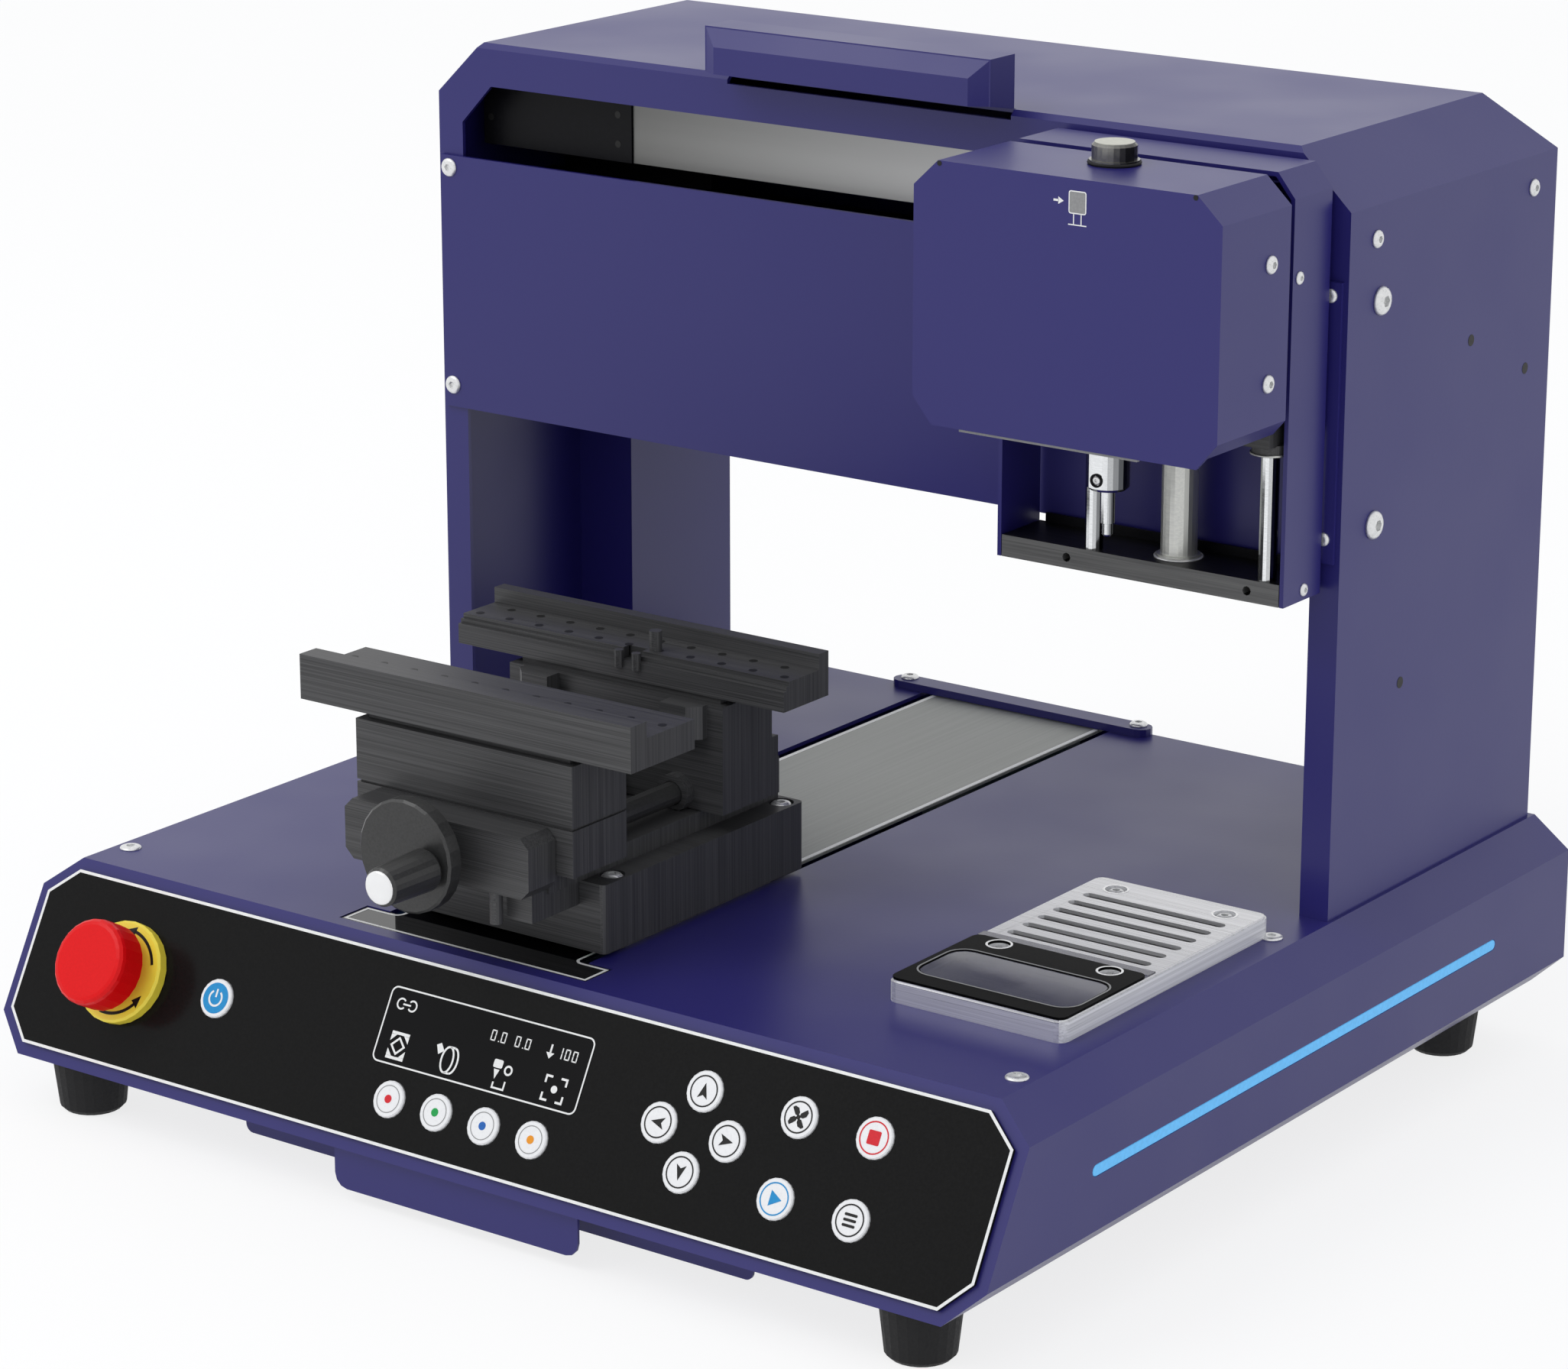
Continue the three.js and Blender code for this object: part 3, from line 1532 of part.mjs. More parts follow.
// Bores for the two rods and the screw through a jaw carriage
function carriageBores(from, to) {
  const x = slot.x;
  const spread = vise.rodSpread / 2;
  return [
    rodY(x - spread, rodLevel, vise.rodRadius + gap, from, to),
    rodY(x + spread, rodLevel, vise.rodRadius + gap, from, to),
    rodY(x, screwLevel, vise.screwRadius + gap, from, to),
  ];
}

// Row of pin holes in the deck of a jaw bar, with a number of places across its middle
function jawHoles(y, upper, count) {
  return Array.from({ length: count }, (_, i) => {
    const x = slot.x + (i - (count - 1) / 2) * jaws.holePitch;
    const ring = circle(x, y, jaws.holeRadius, holeSides);
    return alongZ(ring, upper - jaws.holeDepth, upper + overrun);
  });
}

const carriageTopZ = carriageFloor + jaws.frontHeight;
const barZ = carriageTopZ + jaws.neckHeight;
const deckZ = barZ + jaws.deckHeight;
const ridgeZ = barZ + jaws.ridgeHeight;
const frontJawY = bearingRearY + gap;

// Narrow neck between a jaw carriage and its bar
function jawNeck(front, rear) {
  const reach = jaws.halfWidth - jaws.neckInset;
  return box(
    slot.x - reach, slot.x + reach, front + jaws.neckInset, rear - jaws.neckInset,
    carriageTopZ - gap, barZ,
  );
}

function makeFrontJaw() {
  const x = slot.x;
  const rear = frontJawY + jaws.frontDepth;
  const block = box(
    x - jaws.halfWidth, x + jaws.halfWidth, frontJawY, rear, carriageFloor, carriageTopZ,
  );
  const seamZ = carriageFloor + jaws.seamRise;
  const wide = jaws.halfWidth + overrun;
  const seams = [
    box(x - wide, x + wide, frontJawY - overrun, frontJawY + jaws.seam, seamZ, seamZ + jaws.seam),
    box(
      x + jaws.halfWidth - jaws.seam, x + wide, frontJawY - overrun, rear + overrun,
      seamZ, seamZ + jaws.seam,
    ),
    box(
      x - wide, x - jaws.halfWidth + jaws.seam, frontJawY - overrun, rear + overrun,
      seamZ, seamZ + jaws.seam,
    ),
  ];
  const bores = carriageBores(frontJawY - overrun, rear + overrun);
  const neck = jawNeck(frontJawY, rear);
  piece('jaw_carriage_front', 'black', cut(join(block, neck), ...seams, ...bores));
  const barRear = frontJawY + jaws.frontBarDepth;
  const ridgeRear = frontJawY + jaws.frontRidge;
  const bar = alongX(
    [
      [frontJawY, barZ],
      [barRear, barZ],
      [barRear, deckZ],
      [ridgeRear, deckZ],
      [ridgeRear, ridgeZ],
      [frontJawY, ridgeZ],
    ],
    x - jaws.barHalfWidth,
    x + jaws.barHalfWidth,
  );
  const holes = jawHoles(frontJawY + jaws.frontRowInset, deckZ, jaws.holeCount);
  piece('jaw_front', 'black', cut(bar, ...holes));
}

function makeRearJaw() {
  const x = slot.x;
  const half = jaws.halfWidth;
  const face = jaws.rearFrontY;
  const back = face + jaws.rearDepth;
  const footRear = face + jaws.footDepth;
  const flareTop = carriageFloor + jaws.flareHeight;
  const side = [
    [face, carriageFloor],
    [footRear, carriageFloor],
    [footRear, flareTop - jaws.flareSlope],
    [back, flareTop],
    [back, carriageTopZ],
    [face, carriageTopZ],
  ];
  const block = alongX(side, x - half, x + half);
  const armFace = face - jaws.armReach;
  const arms = [-1, 1].map((hand) => {
    const inner = jaws.armX - jaws.armWidth / 2;
    const outer = jaws.armX + jaws.armWidth / 2;
    const outline = [
      [inner, face + gap],
      [inner, armFace],
      [outer - jaws.armChamfer, armFace],
      [outer, armFace + jaws.armChamfer],
      [outer, face + gap],
    ].map(([a, y]) => [x + hand * a, y]);
    return alongZ(outline, carriageTopZ - jaws.armHeight, carriageTopZ);
  });
  const bossFace = face - jaws.bossReach;
  const clear = box(x - half, x + half, bossFace - overrun, back, carriageFloor, carriageTopZ);
  const bosses = [-1, 1].map((hand) => {
    const bossX = x + (hand * vise.rodSpread) / 2;
    return rodY(bossX, rodLevel, jaws.bossRadius, bossFace, face + gap).intersect(clear);
  });
  const bores = carriageBores(bossFace - overrun, footRear + overrun);
  const body = join(block, jawNeck(face, back), ...arms, ...bosses);
  piece('jaw_carriage_rear', 'black', cut(body, ...bores));
  const barFront = face + jaws.rearBarSetback;
  const barRear = barFront + jaws.rearBarDepth;
  const ridgeFront = barRear - jaws.rearRidge;
  const bar = alongX(
    [
      [barFront, barZ],
      [barRear, barZ],
      [barRear, ridgeZ],
      [ridgeFront, ridgeZ],
      [ridgeFront, deckZ],
      [barFront + 2 * jaws.stepDepth, deckZ],
      [barFront + 2 * jaws.stepDepth, deckZ - jaws.stepHeight],
      [barFront + jaws.stepDepth, deckZ - jaws.stepHeight],
      [barFront + jaws.stepDepth, deckZ - 2 * jaws.stepHeight],
      [barFront, deckZ - 2 * jaws.stepHeight],
    ],
    x - jaws.barHalfWidth,
    x + jaws.barHalfWidth,
  );
  const notchX = x + jaws.stopX;
  const notch = box(
    notchX - jaws.notchWidth / 2, notchX + jaws.notchWidth / 2,
    barFront - overrun, barFront + jaws.notchDepth, deckZ - jaws.notchDrop, deckZ + overrun,
  );
  const stops = [-1, 1].map((hand) => alongZ(
    circle(notchX + (hand * jaws.stopSpread) / 2, barFront - gap, jaws.stopRadius, rodSides),
    deckZ - jaws.stopDrop, deckZ,
  ));
  const post = alongZ(
    circle(x + jaws.postX, barFront + jaws.notchDepth, jaws.postRadius, rodSides),
    deckZ - gap, deckZ + jaws.postHeight,
  );
  const firstRow = barFront + jaws.rearRowInset;
  const holes = [
    ...jawHoles(firstRow, deckZ, jaws.holeCount),
    ...jawHoles(firstRow + jaws.rowPitch, deckZ, jaws.holeCount - 1),
  ];
  piece('jaw_rear', 'black', join(cut(bar, notch, ...holes), ...stops, post));
}

function makeHandwheel() {
  const x = slot.x;
  const rear = vise.bearingFrontY - wheel.frontGap;
  const face = rear - wheel.thickness;
  const disc = turnedY([
    [0, face],
    [wheel.radius - wheel.edge, face],
    [wheel.radius, face + wheel.edge],
    [wheel.radius, rear - wheel.edge],
    [wheel.radius - wheel.edge, rear],
    [wheel.hubRadius, rear],
    [wheel.hubRadius, vise.bearingFrontY - gap],
    [vise.screwRadius, vise.bearingFrontY - gap],
    [vise.screwRadius, rodEndY],
    [0, rodEndY],
  ], x, screwLevel);
  const gripX = x + crank.offsetX;
  const gripZ = screwLevel - crank.offsetDown;
  const pinEnd = face - crank.pinLength;
  const pin = rodY(gripX, gripZ, crank.pinRadius, pinEnd, face + gap);
  piece('handwheel', 'black', join(disc, pin));
  const gripRear = face - gap;
  const gripFace = gripRear - crank.length;
  const bore = crank.pinRadius + gap;
  piece('crank_grip', 'black', turnedY([
    [0, gripFace],
    [crank.frontRadius - crank.edge, gripFace],
    [crank.frontRadius, gripFace + crank.edge],
    [crank.radius, gripRear - crank.shoulder],
    [crank.radius - crank.edge, gripRear - crank.edge],
    [crank.radius - crank.shoulder, gripRear],
    [bore, gripRear],
    [bore, pinEnd - gap],
    [0, pinEnd - gap],
  ], gripX, gripZ));
  return gripFace;
}

makeBase();
makeLights();
makeBottom();
makeFeet();
makePanel();
makeKeys();
makeStop();
makeBands();
makeDrive();
makeTable();
makeTray();
makeRear();
makeRack();
makeGantry();
makeFrontCover();
makeGuide();
makeHood();
makeCarriage();
makeColumnParts();
makeHeadBlock();
makeHeadCover();
makeTool();
makeViseBase();
makeViseBed();
makeFrontJaw();
makeRearJaw();
const gripFace = makeHandwheel();

// The footprint runs from the crank grip to the clamp bar or the inlet behind the base
const footprintRear = rearY + Math.max(clampBar.overhang, inlet.proud);
machine.position.y = -(gripFace + footprintRear) / 2;

export default machine;
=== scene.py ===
"""Finishes, printed signs, screws and small trim of a desktop engraving machine.

What is drawn here is in millimetres, and becomes metres when a piece is made of it.
"""

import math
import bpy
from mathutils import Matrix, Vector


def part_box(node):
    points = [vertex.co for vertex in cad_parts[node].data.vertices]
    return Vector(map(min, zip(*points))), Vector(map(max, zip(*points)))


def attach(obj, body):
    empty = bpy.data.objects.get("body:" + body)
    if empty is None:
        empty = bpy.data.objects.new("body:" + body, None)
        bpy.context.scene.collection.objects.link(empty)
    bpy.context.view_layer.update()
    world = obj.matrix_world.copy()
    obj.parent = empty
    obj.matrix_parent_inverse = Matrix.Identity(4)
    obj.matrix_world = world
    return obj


bl_info = {
    "name": "Engraving machine looks",
    "version": (1, 0, 0),
    "blender": (4, 5, 0),
    "location": "3D View > Sidebar > Engraver",
    "description": "Finishes, signs, screws and trim of a desktop engraving machine",
    "category": "Object",
}

import bmesh
import bpy
from mathutils import Matrix, Vector

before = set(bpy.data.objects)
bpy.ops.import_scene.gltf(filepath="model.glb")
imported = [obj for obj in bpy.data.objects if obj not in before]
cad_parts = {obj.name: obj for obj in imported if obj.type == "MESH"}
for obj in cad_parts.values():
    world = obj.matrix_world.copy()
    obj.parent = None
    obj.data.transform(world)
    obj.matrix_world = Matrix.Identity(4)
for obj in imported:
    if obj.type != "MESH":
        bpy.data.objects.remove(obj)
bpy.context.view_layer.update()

MM = 0.001
ROUND = 32            # sides of a round sign or screw
INK = 0.06            # thickness of a printed layer
LIFT = 0.02           # gap between a printed layer and what carries it
FLAT = 0.05           # depth within which points belong to one face
SOCKET = 0.42         # corner of a screw's hexagon socket, as a share of the head's radius

X = Vector((1, 0, 0))
Y = Vector((0, 1, 0))
Z = Vector((0, 0, 1))

# The leaning control panel: direction up its slope and out of its face
SLOPE_UP = Vector((0, 0.483493, 0.875349))
SLOPE_OUT = Vector((0, -0.875349, 0.483493))

KEY_NAMES = (
    "power", "red", "green", "blue", "orange", "up", "left", "right", "down", "fan", "start",
    "stop", "menu",
)


# Places and measures

def in_mm(corners):
    """The two corners of a box, from metres to millimetres."""
    return [corner / MM for corner in corners]


def placed(origin, right, out):
    """Matrix of a flat drawing: its x runs right, its z comes out of the surface."""
    up = out.cross(right)
    turn = Matrix((right, up, out)).transposed()
    return Matrix.Translation(origin) @ turn.to_4x4()


def spot(x, y, z, out):
    """Matrix of a flat drawing at a point of a surface that faces out along an axis."""
    right = X if abs(out.x) < 0.5 else Y * (1 if out.x > 0 else -1)
    return placed(Vector((x, y, z)), right, out)


def slope_face(node):
    """The face of a CAD node furthest out of the panel: its place, and its points round it."""
    points = [v.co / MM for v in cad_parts[node].data.vertices]
    far = max(p.dot(SLOPE_OUT) for p in points)
    face = [p for p in points if far - p.dot(SLOPE_OUT) < FLAT]
    middle = Vector([(min(along) + max(along)) / 2 for along in zip(*face)])
    flat = [((p - middle).dot(X), (p - middle).dot(SLOPE_UP)) for p in face]
    return placed(middle, X, SLOPE_OUT), flat


def layer(level=0):
    """Bottom and top of a printed layer on a surface at a level."""
    return level + LIFT, level + LIFT + INK


# Colours and shader nodes

def linear(code):
    """Linear RGBA of an sRGB hex colour."""
    channels = [int(code[i:i + 2], 16) / 255 for i in (1, 3, 5)]
    return [c / 12.92 if c <= 0.04045 else ((c + 0.055) / 1.055) ** 2.4 for c in channels] + [1.0]


def add_node(tree, kind, settings=None, links=None):
    """Adds a node, sets its properties and unlinked inputs, and links its other inputs."""
    made = tree.nodes.new(kind)
    for key, value in (settings or {}).items():
        if isinstance(key, int) or key in made.inputs:
            made.inputs[key].default_value = value
        else:
            setattr(made, key, value)
    for key, source in (links or {}).items():
        tree.links.new(source, made.inputs[key])
    return made


FINISHES = {}


def new_finish(key, name, **sockets):
    """Files a material with one Principled shader whose constants sit on its own sockets."""
    material = bpy.data.materials.new(name)
    material.use_nodes = True
    tree = material.node_tree
    shader = tree.nodes["Principled BSDF"]
    for socket, value in sockets.items():
        shader.inputs[socket.replace("_", " ")].default_value = value
    FINISHES[key] = material
    return tree, shader


def surface_place(tree, size_mm):
    """Object coordinates scaled so that one pattern unit is size_mm along x, y and z."""
    place = add_node(tree, "ShaderNodeTexCoord")
    scale = [1 / (s * MM) for s in size_mm]
    return add_node(
        tree, "ShaderNodeMapping", {"Scale": scale}, {"Vector": place.outputs["Object"]},
    ).outputs["Vector"]


def noise(tree, size_mm, detail=2.0, roughness=0.5):
    """Noise whose grain has the given size along x, y and z."""
    return add_node(
        tree, "ShaderNodeTexNoise",
        {"Scale": 1.0, "Detail": detail, "Roughness": roughness},
        {"Vector": surface_place(tree, size_mm)},
    ).outputs["Fac"]


def ramp(tree, value, low, high, from_value=0.3, to_value=0.7):
    """A value taken from one range to another."""
    return add_node(
        tree, "ShaderNodeMapRange", {1: from_value, 2: to_value, 3: low, 4: high}, {0: value},
    ).outputs[0]


def tint(tree, value, dark, light):
    """A colour between two hex colours, by a value from 0 to 1."""
    colours = {"data_type": "RGBA", 6: linear(dark), 7: linear(light)}
    return add_node(tree, "ShaderNodeMix", colours, {0: value}).outputs[2]


def facing(tree, axis):
    """How squarely a surface faces along an axis, either way."""
    place = add_node(tree, "ShaderNodeTexCoord")
    normal = add_node(tree, "ShaderNodeSeparateXYZ", None, {0: place.outputs["Normal"]})
    side = add_node(tree, "ShaderNodeMath", {"operation": "ABSOLUTE"}, {0: normal.outputs[axis]})
    return side.outputs[0]


def surface(tree, shader, colour, rough, height, depth_mm, strength=1.0):
    """Links a colour, a roughness and a relief of at most depth_mm to a shader."""
    relief = add_node(
        tree, "ShaderNodeBump", {"Strength": strength, "Distance": depth_mm * MM}, {"Height": height},
    )
    sources = {"Base Color": colour, "Roughness": rough, "Normal": relief.outputs["Normal"]}
    for socket, source in sources.items():
        if source is not None:
            tree.links.new(source, shader.inputs[socket])


def grained(key, name, dark, light, grain_mm, rough, depth_mm, **sockets):
    """A finish with an even grain: colour, gloss and relief follow one noise."""
    tree, shader = new_finish(key, name, **sockets)
    grain = noise(tree, (grain_mm,) * 3)
    colour = tint(tree, ramp(tree, grain, 0, 1), dark, light)
    surface(tree, shader, colour, ramp(tree, grain, *rough), grain, depth_mm)


def brushed(key, name, dark, light, rough, streak_mm, length_mm, depth_mm, axes, **sockets):
    """A finish with fine streaks along one axis, and along another on faces that look along x."""
    tree, shader = new_finish(key, name, **sockets)
    level, upright = [
        noise(tree, [length_mm if axis == along else streak_mm for axis in "xyz"], 4.0, 0.6)
        for along in axes
    ]
    pick = add_node(
        tree, "ShaderNodeMath", {"operation": "GREATER_THAN", 1: 0.7}, {0: facing(tree, 0)},
    )
    streak = add_node(
        tree, "ShaderNodeMix", {"data_type": "FLOAT"}, {0: pick.outputs[0], 2: level, 3: upright},
    ).outputs[0]
    colour = tint(tree, ramp(tree, streak, 0, 1, 0.35, 0.65), dark, light)
    surface(tree, shader, colour, ramp(tree, streak, *rough), streak, depth_mm)


def shade_facing(key, axis, start, end, dark):
    """Paints shade into a finish: darker where its surface faces along an axis."""
    tree = FINISHES[key].node_tree
    colour = tree.nodes["Principled BSDF"].inputs["Base Color"]
    links = {0: ramp(tree, facing(tree, axis), 0, 1, start, end), 6: colour.links[0].from_socket}
    mixed = add_node(tree, "ShaderNodeMix", {"data_type": "RGBA", 7: linear(dark)}, links)
    tree.links.new(mixed.outputs[2], colour)


# Even finishes: material, dark and light colour, grain in millimetres, roughness from and to,
# depth of the relief in millimetres, and other values of the shader
GRAINED = {
    # Black satin paint on steel: the same skin as the blue, darker and a little duller. It also makes the
    # painted shade round the clamp screw
    "black_sheet": (
        "satin_black_paint_on_steel", "#0b0b0f", "#101014", 2.0, (0.34, 0.4), 0.01,
        {"Specular_IOR_Level": 0.12},
    ),
    # Gloss black paint on the cover plate of the slot: it mirrors what stands round it
    "gloss_black": (
        "gloss_black_paint_on_steel", "#08080a", "#0c0c0f", 3.0, (0.05, 0.08), 0.002,
        {"Specular_IOR_Level": 0.5},
    ),
    # Printed polycarbonate film of the panel: almost smooth, with a weak clear reflection
    "panel_film": (
        "printed_polycarbonate_film", "#141414", "#181818", 0.9, (0.14, 0.19), 0.002,
        {"Specular_IOR_Level": 0.07, "IOR": 1.58},
    ),
    "display_glass": (
        "display_glass", "#121213", "#141415", 30.0, (0.07, 0.1), 0.0005,
        {"Specular_IOR_Level": 0.08, "IOR": 1.52},
    ),
    # The same film on the rack's plate, more matt
    "plate_film": (
        "matt_black_film", "#080808", "#0c0c0c", 0.9, (0.3, 0.36), 0.002, {"Specular_IOR_Level": 0.02},
    ),
    # Clear acrylic pane: polished, with a grey body
    "clear_pane": (
        "clear_acrylic", "#8c8c9c", "#9696a6", 12.0, (0.05, 0.09), 0.001,
        {"Transmission_Weight": 0.85, "IOR": 1.49},
    ),
    # White film of the keys: smooth and slightly glossy
    "key_white": (
        "white_printed_film", "#f4f4f5", "#f8f8f8", 1.2, (0.26, 0.32), 0.003, {"Specular_IOR_Level": 0.4},
    ),
    # Moulded ABS of the emergency stop, with the fine spark-eroded texture of its mould
    "stop_red": (
        "moulded_red_abs", "#e4060c", "#ea0a10", 0.7, (0.3, 0.36), 0.006,
        {"Specular_IOR_Level": 0.18, "IOR": 1.54},
    ),
    "stop_yellow": (
        "moulded_yellow_abs", "#ffe646", "#ffea50", 0.7, (0.3, 0.38), 0.006,
        {"Specular_IOR_Level": 0.4, "IOR": 1.54},
    ),
    # Moulded rubber of the feet: matt, with a dusty grain. It also darkens the rack's slots as painted
    # shade
    "rubber": (
        "moulded_rubber", "#0e0e10", "#161618", 0.9, (0.6, 0.75), 0.03, {"Specular_IOR_Level": 0.35},
    ),
    # Bright zinc plate on the screws: pale, a bit cloudy
    "zinc": ("bright_zinc_plate", "#dadbdb", "#eeeeee", 1.1, (0.26, 0.36), 0.004, {"Metallic": 0.65}),
    # Turned and black anodised aluminium of the handwheel and the vise's rods: even and satin
    "turned_black": (
        "turned_black_anodised_aluminium", "#383838", "#404040", 0.8, (0.3, 0.38), 0.004,
        {"Metallic": 0.4, "Specular_IOR_Level": 0.45},
    ),
    # Turned side of the pressure knob, and the light grey disc on its top, a painted reflection
    "turned_grey": (
        "turned_grey_anodised_aluminium", "#7c7c79", "#8a8985", 1.6, (0.2, 0.26), 0.003,
        {"Metallic": 0.85},
    ),
    "knob_top_reflection": (
        "faced_clear_anodised_aluminium", "#b9b9ac", "#cacabd", 1.6, (0.3, 0.38), 0.003,
        {"Metallic": 0.6},
    ),
    # Polished stainless cap: smooth, almost white under a bright sky
    "polished": (
        "polished_stainless_steel", "#f2f2f2", "#f6f6f6", 8.0, (0.12, 0.16), 0.0005, {"Metallic": 0.5},
    ),
    # Black moulded plastic of the mains inlet, with a fine leather-like grain
    "black_plastic": (
        "textured_black_polyamide", "#161617", "#202021", 0.8, (0.42, 0.55), 0.02,
        {"Specular_IOR_Level": 0.4, "IOR": 1.53},
    ),
}

# Streaked finishes: material, dark and light colour, roughness from and to, width, length and
# depth of a streak in millimetres, its two axes, and other values of the shader
BRUSHED = {
    # Steel strip that covers the slot, rolled lengthwise: grey, low gloss, faint lines
    "band_sheet": (
        "rolled_steel_strip", "#949692", "#a0a29e", (0.42, 0.5), 1.4, 220, 0.003, "yz",
        {"Metallic": 0.25, "Specular_IOR_Level": 0.4},
    ),
    # Hard chromed ground rods, and the polished tool: a clear mirror with the faintest grinding
    "steel": (
        "ground_chromed_steel", "#dcdee0", "#eaecee", (0.08, 0.13), 0.35, 8, 0.001, "xz",
        {"Metallic": 1.0},
    ),
    # Turned aluminium sleeve, satin anodised
    "aluminium": (
        "satin_anodised_aluminium", "#c4c5c2", "#d4d5d0", (0.34, 0.44), 0.5, 30, 0.003, "xz",
        {"Metallic": 0.85},
    ),
    # Milled and brushed aluminium of the rack, clear anodised
    "brushed_rack": (
        "brushed_clear_anodised_aluminium", "#d0d0d2", "#f6f6f8", (0.26, 0.34), 0.7, 120, 0.004, "xy", {},
    ),
    # Brushed and black anodised aluminium of the vise: dark grey with long fine streaks. The
    # real lines are about 0.1 mm and are drawn at 0.4 mm so that they show.
    "black_aluminium": (
        "brushed_black_anodised_aluminium", "#373738", "#525253", (0.38, 0.48), 0.4, 90, 0.01, "xz",
        {"Metallic": 0.3, "Specular_IOR_Level": 0.4},
    ),
    # Sheet brushed before it was painted black: the head's lower plate
    "black_plate": (
        "brushed_black_painted_steel", "#565656", "#6a6a69", (0.4, 0.5), 0.5, 40, 0.006, "xz",
        {"Metallic": 0.3},
    ),
}

# Screen-printed inks, flat and satin: dark and light colour
INKS = {
    # The black ink is also the painted shade of holes and notches
    "ink_white": ("#f0f0ee", "#f8f8f6"), "black_ink_and_hole_shade": ("#101010", "#161616"),
    "ink_grey": ("#8e8e8e", "#989898"), "ink_red": ("#d61f2c", "#de2733"),
    "ink_blue": ("#1b8ccb", "#2396d4"), "ink_navy": ("#1f62b4", "#256abc"),
    "ink_green": ("#18a04c", "#1fa854"), "ink_orange": ("#f0971f", "#f59f2a"),
}


def make_finishes(look):
    """All the materials, each named for the real finish."""
    for key, (*values, sockets) in GRAINED.items():
        grained(key, *values, **sockets)
    for key, (*values, sockets) in BRUSHED.items():
        brushed(key, *values, **sockets)
    for key, colours in INKS.items():
        grained(
            key, "screen_printed_" + key, *colours, 1.0, (0.4, 0.5), 0.002, Specular_IOR_Level=0.3,
        )
    # Painted reflection and shade: darker to the sides, where the surface faces along x, as if it
    # mirrored an unlit room there
    shade_facing("steel", 0, 0.35, 0.95, "#44464a")
    shade_facing("turned_grey", 0, 0.3, 0.9, "#1c1c1c")
    # Painted shade: the head's lower plate is drawn black where it faces up, and is brushed at its edges
    shade_facing("black_plate", 2, 0.6, 0.9, "#0c0c0d")
    # Painted light: the rack is made less metallic where it faces along x, so that its pale colour shows
    # brighter on those sides
    tree = FINISHES["brushed_rack"].node_tree
    metal = ramp(tree, facing(tree, 0), 0.7, 0.0, 0.3, 0.7)
    tree.links.new(metal, tree.nodes["Principled BSDF"].inputs["Metallic"])

    # Semi-gloss powder coat on folded steel: an even skin with faint orange peel. The peel is
    # about 0.8 mm on the real sheet and is drawn at 2 mm so that it shows.
    tree, shader = new_finish(
        "blue_sheet", "powder_coated_steel", Specular_IOR_Level=0.42, IOR=1.5, Coat_Weight=0.05,
        Coat_Roughness=0.2,
    )
    shader.inputs["Base Color"].default_value = linear(look.housing_colour)
    peel = noise(tree, (2.0,) * 3, detail=1.0)
    cloud = noise(tree, (70.0,) * 3)
    surface(tree, shader, None, ramp(tree, cloud, 0.34, 0.42), peel, 0.02, 0.5)

    # Thin stainless sheet in the beam: a broad painted sheen, lighter towards +x, and its rolling lines
    # all but gone
    tree, shader = new_finish(
        "curtain", "satin_stainless_sheet", Metallic=0.55, Specular_IOR_Level=0.4,
    )
    rolled = noise(tree, (300.0, 3.0, 3.0))
    place = add_node(tree, "ShaderNodeTexCoord")
    across = add_node(tree, "ShaderNodeSeparateXYZ", None, {0: place.outputs["Object"]})
    # Painted sheen: the colour runs from dark to light along x
    sheen = ramp(tree, across.outputs[0], 0, 1, -120 * MM, 60 * MM)
    colour = tint(tree, sheen, "#727270", "#bababa")
    surface(tree, shader, colour, ramp(tree, rolled, 0.38, 0.44), rolled, 0.003)

    # Frosted light guide: an even pale blue glow
    tree, shader = new_finish(
        "light_blue", "frosted_light_guide", Roughness=0.4, Specular_IOR_Level=0.3,
        Emission_Strength=0.72, Emission_Color=linear(look.light_colour),
    )
    frost = noise(tree, (1.5,) * 3)
    colour = tint(tree, ramp(tree, frost, 0, 1), "#2c6a92", "#3a7eaa")
    surface(tree, shader, colour, None, frost, 0.01)


# Geometry helpers

def new_piece(name, bm, finishes, body, place=None):
    """An object of drawn geometry that rides on a body and takes its finish from a slot."""
    bm.transform(Matrix.Scale(MM, 4))
    bmesh.ops.recalc_face_normals(bm, faces=bm.faces)
    mesh = bpy.data.meshes.new(name)
    bm.to_mesh(mesh)
    bm.free()
    made = bpy.data.objects.new(name, mesh)
    bpy.context.scene.collection.objects.link(made)
    if place is not None:
        seat = place.copy()
        seat.translation = place.translation * MM
        made.matrix_world = seat
    for finish in finishes:
        mesh.materials.append(FINISHES[finish])
    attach(made, body)


def slab(bm, outline, low, high, material=0):
    """A flat prism from an outline in x and y."""
    base = [bm.verts.new((x, y, low)) for x, y in outline]
    grown = bmesh.ops.extrude_face_region(bm, geom=[bm.faces.new(base)])
    top = [v for v in grown["geom"] if isinstance(v, bmesh.types.BMVert)]
    bmesh.ops.translate(bm, verts=top, vec=(0, 0, high - low))
    for vert in base + top:
        for face in vert.link_faces:
            face.material_index = material
    return top


def rect(x0, x1, y0, y1):
    """Outline of a rectangle."""
    return [(x0, y0), (x1, y0), (x1, y1), (x0, y1)]


def circle(x, y, radius, sides=ROUND):
    """Outline of a circle."""
    steps = [2 * math.pi * i / sides for i in range(sides)]
    return [(x + radius * math.cos(a), y + radius * math.sin(a)) for a in steps]


def rounded(x0, x1, y0, y1, radius, steps=6):
    """Outline of a rectangle with round corners."""
    corners = ((x1 - radius, y0 + radius, -90), (x1 - radius, y1 - radius, 0),
               (x0 + radius, y1 - radius, 90), (x0 + radius, y0 + radius, 180))
    outline = []
    for cx, cy, start in corners:
        for k in range(steps + 1):
            angle = math.radians(start + 90 * k / steps)
            outline.append((cx + radius * math.cos(angle), cy + radius * math.sin(angle)))
    return outline


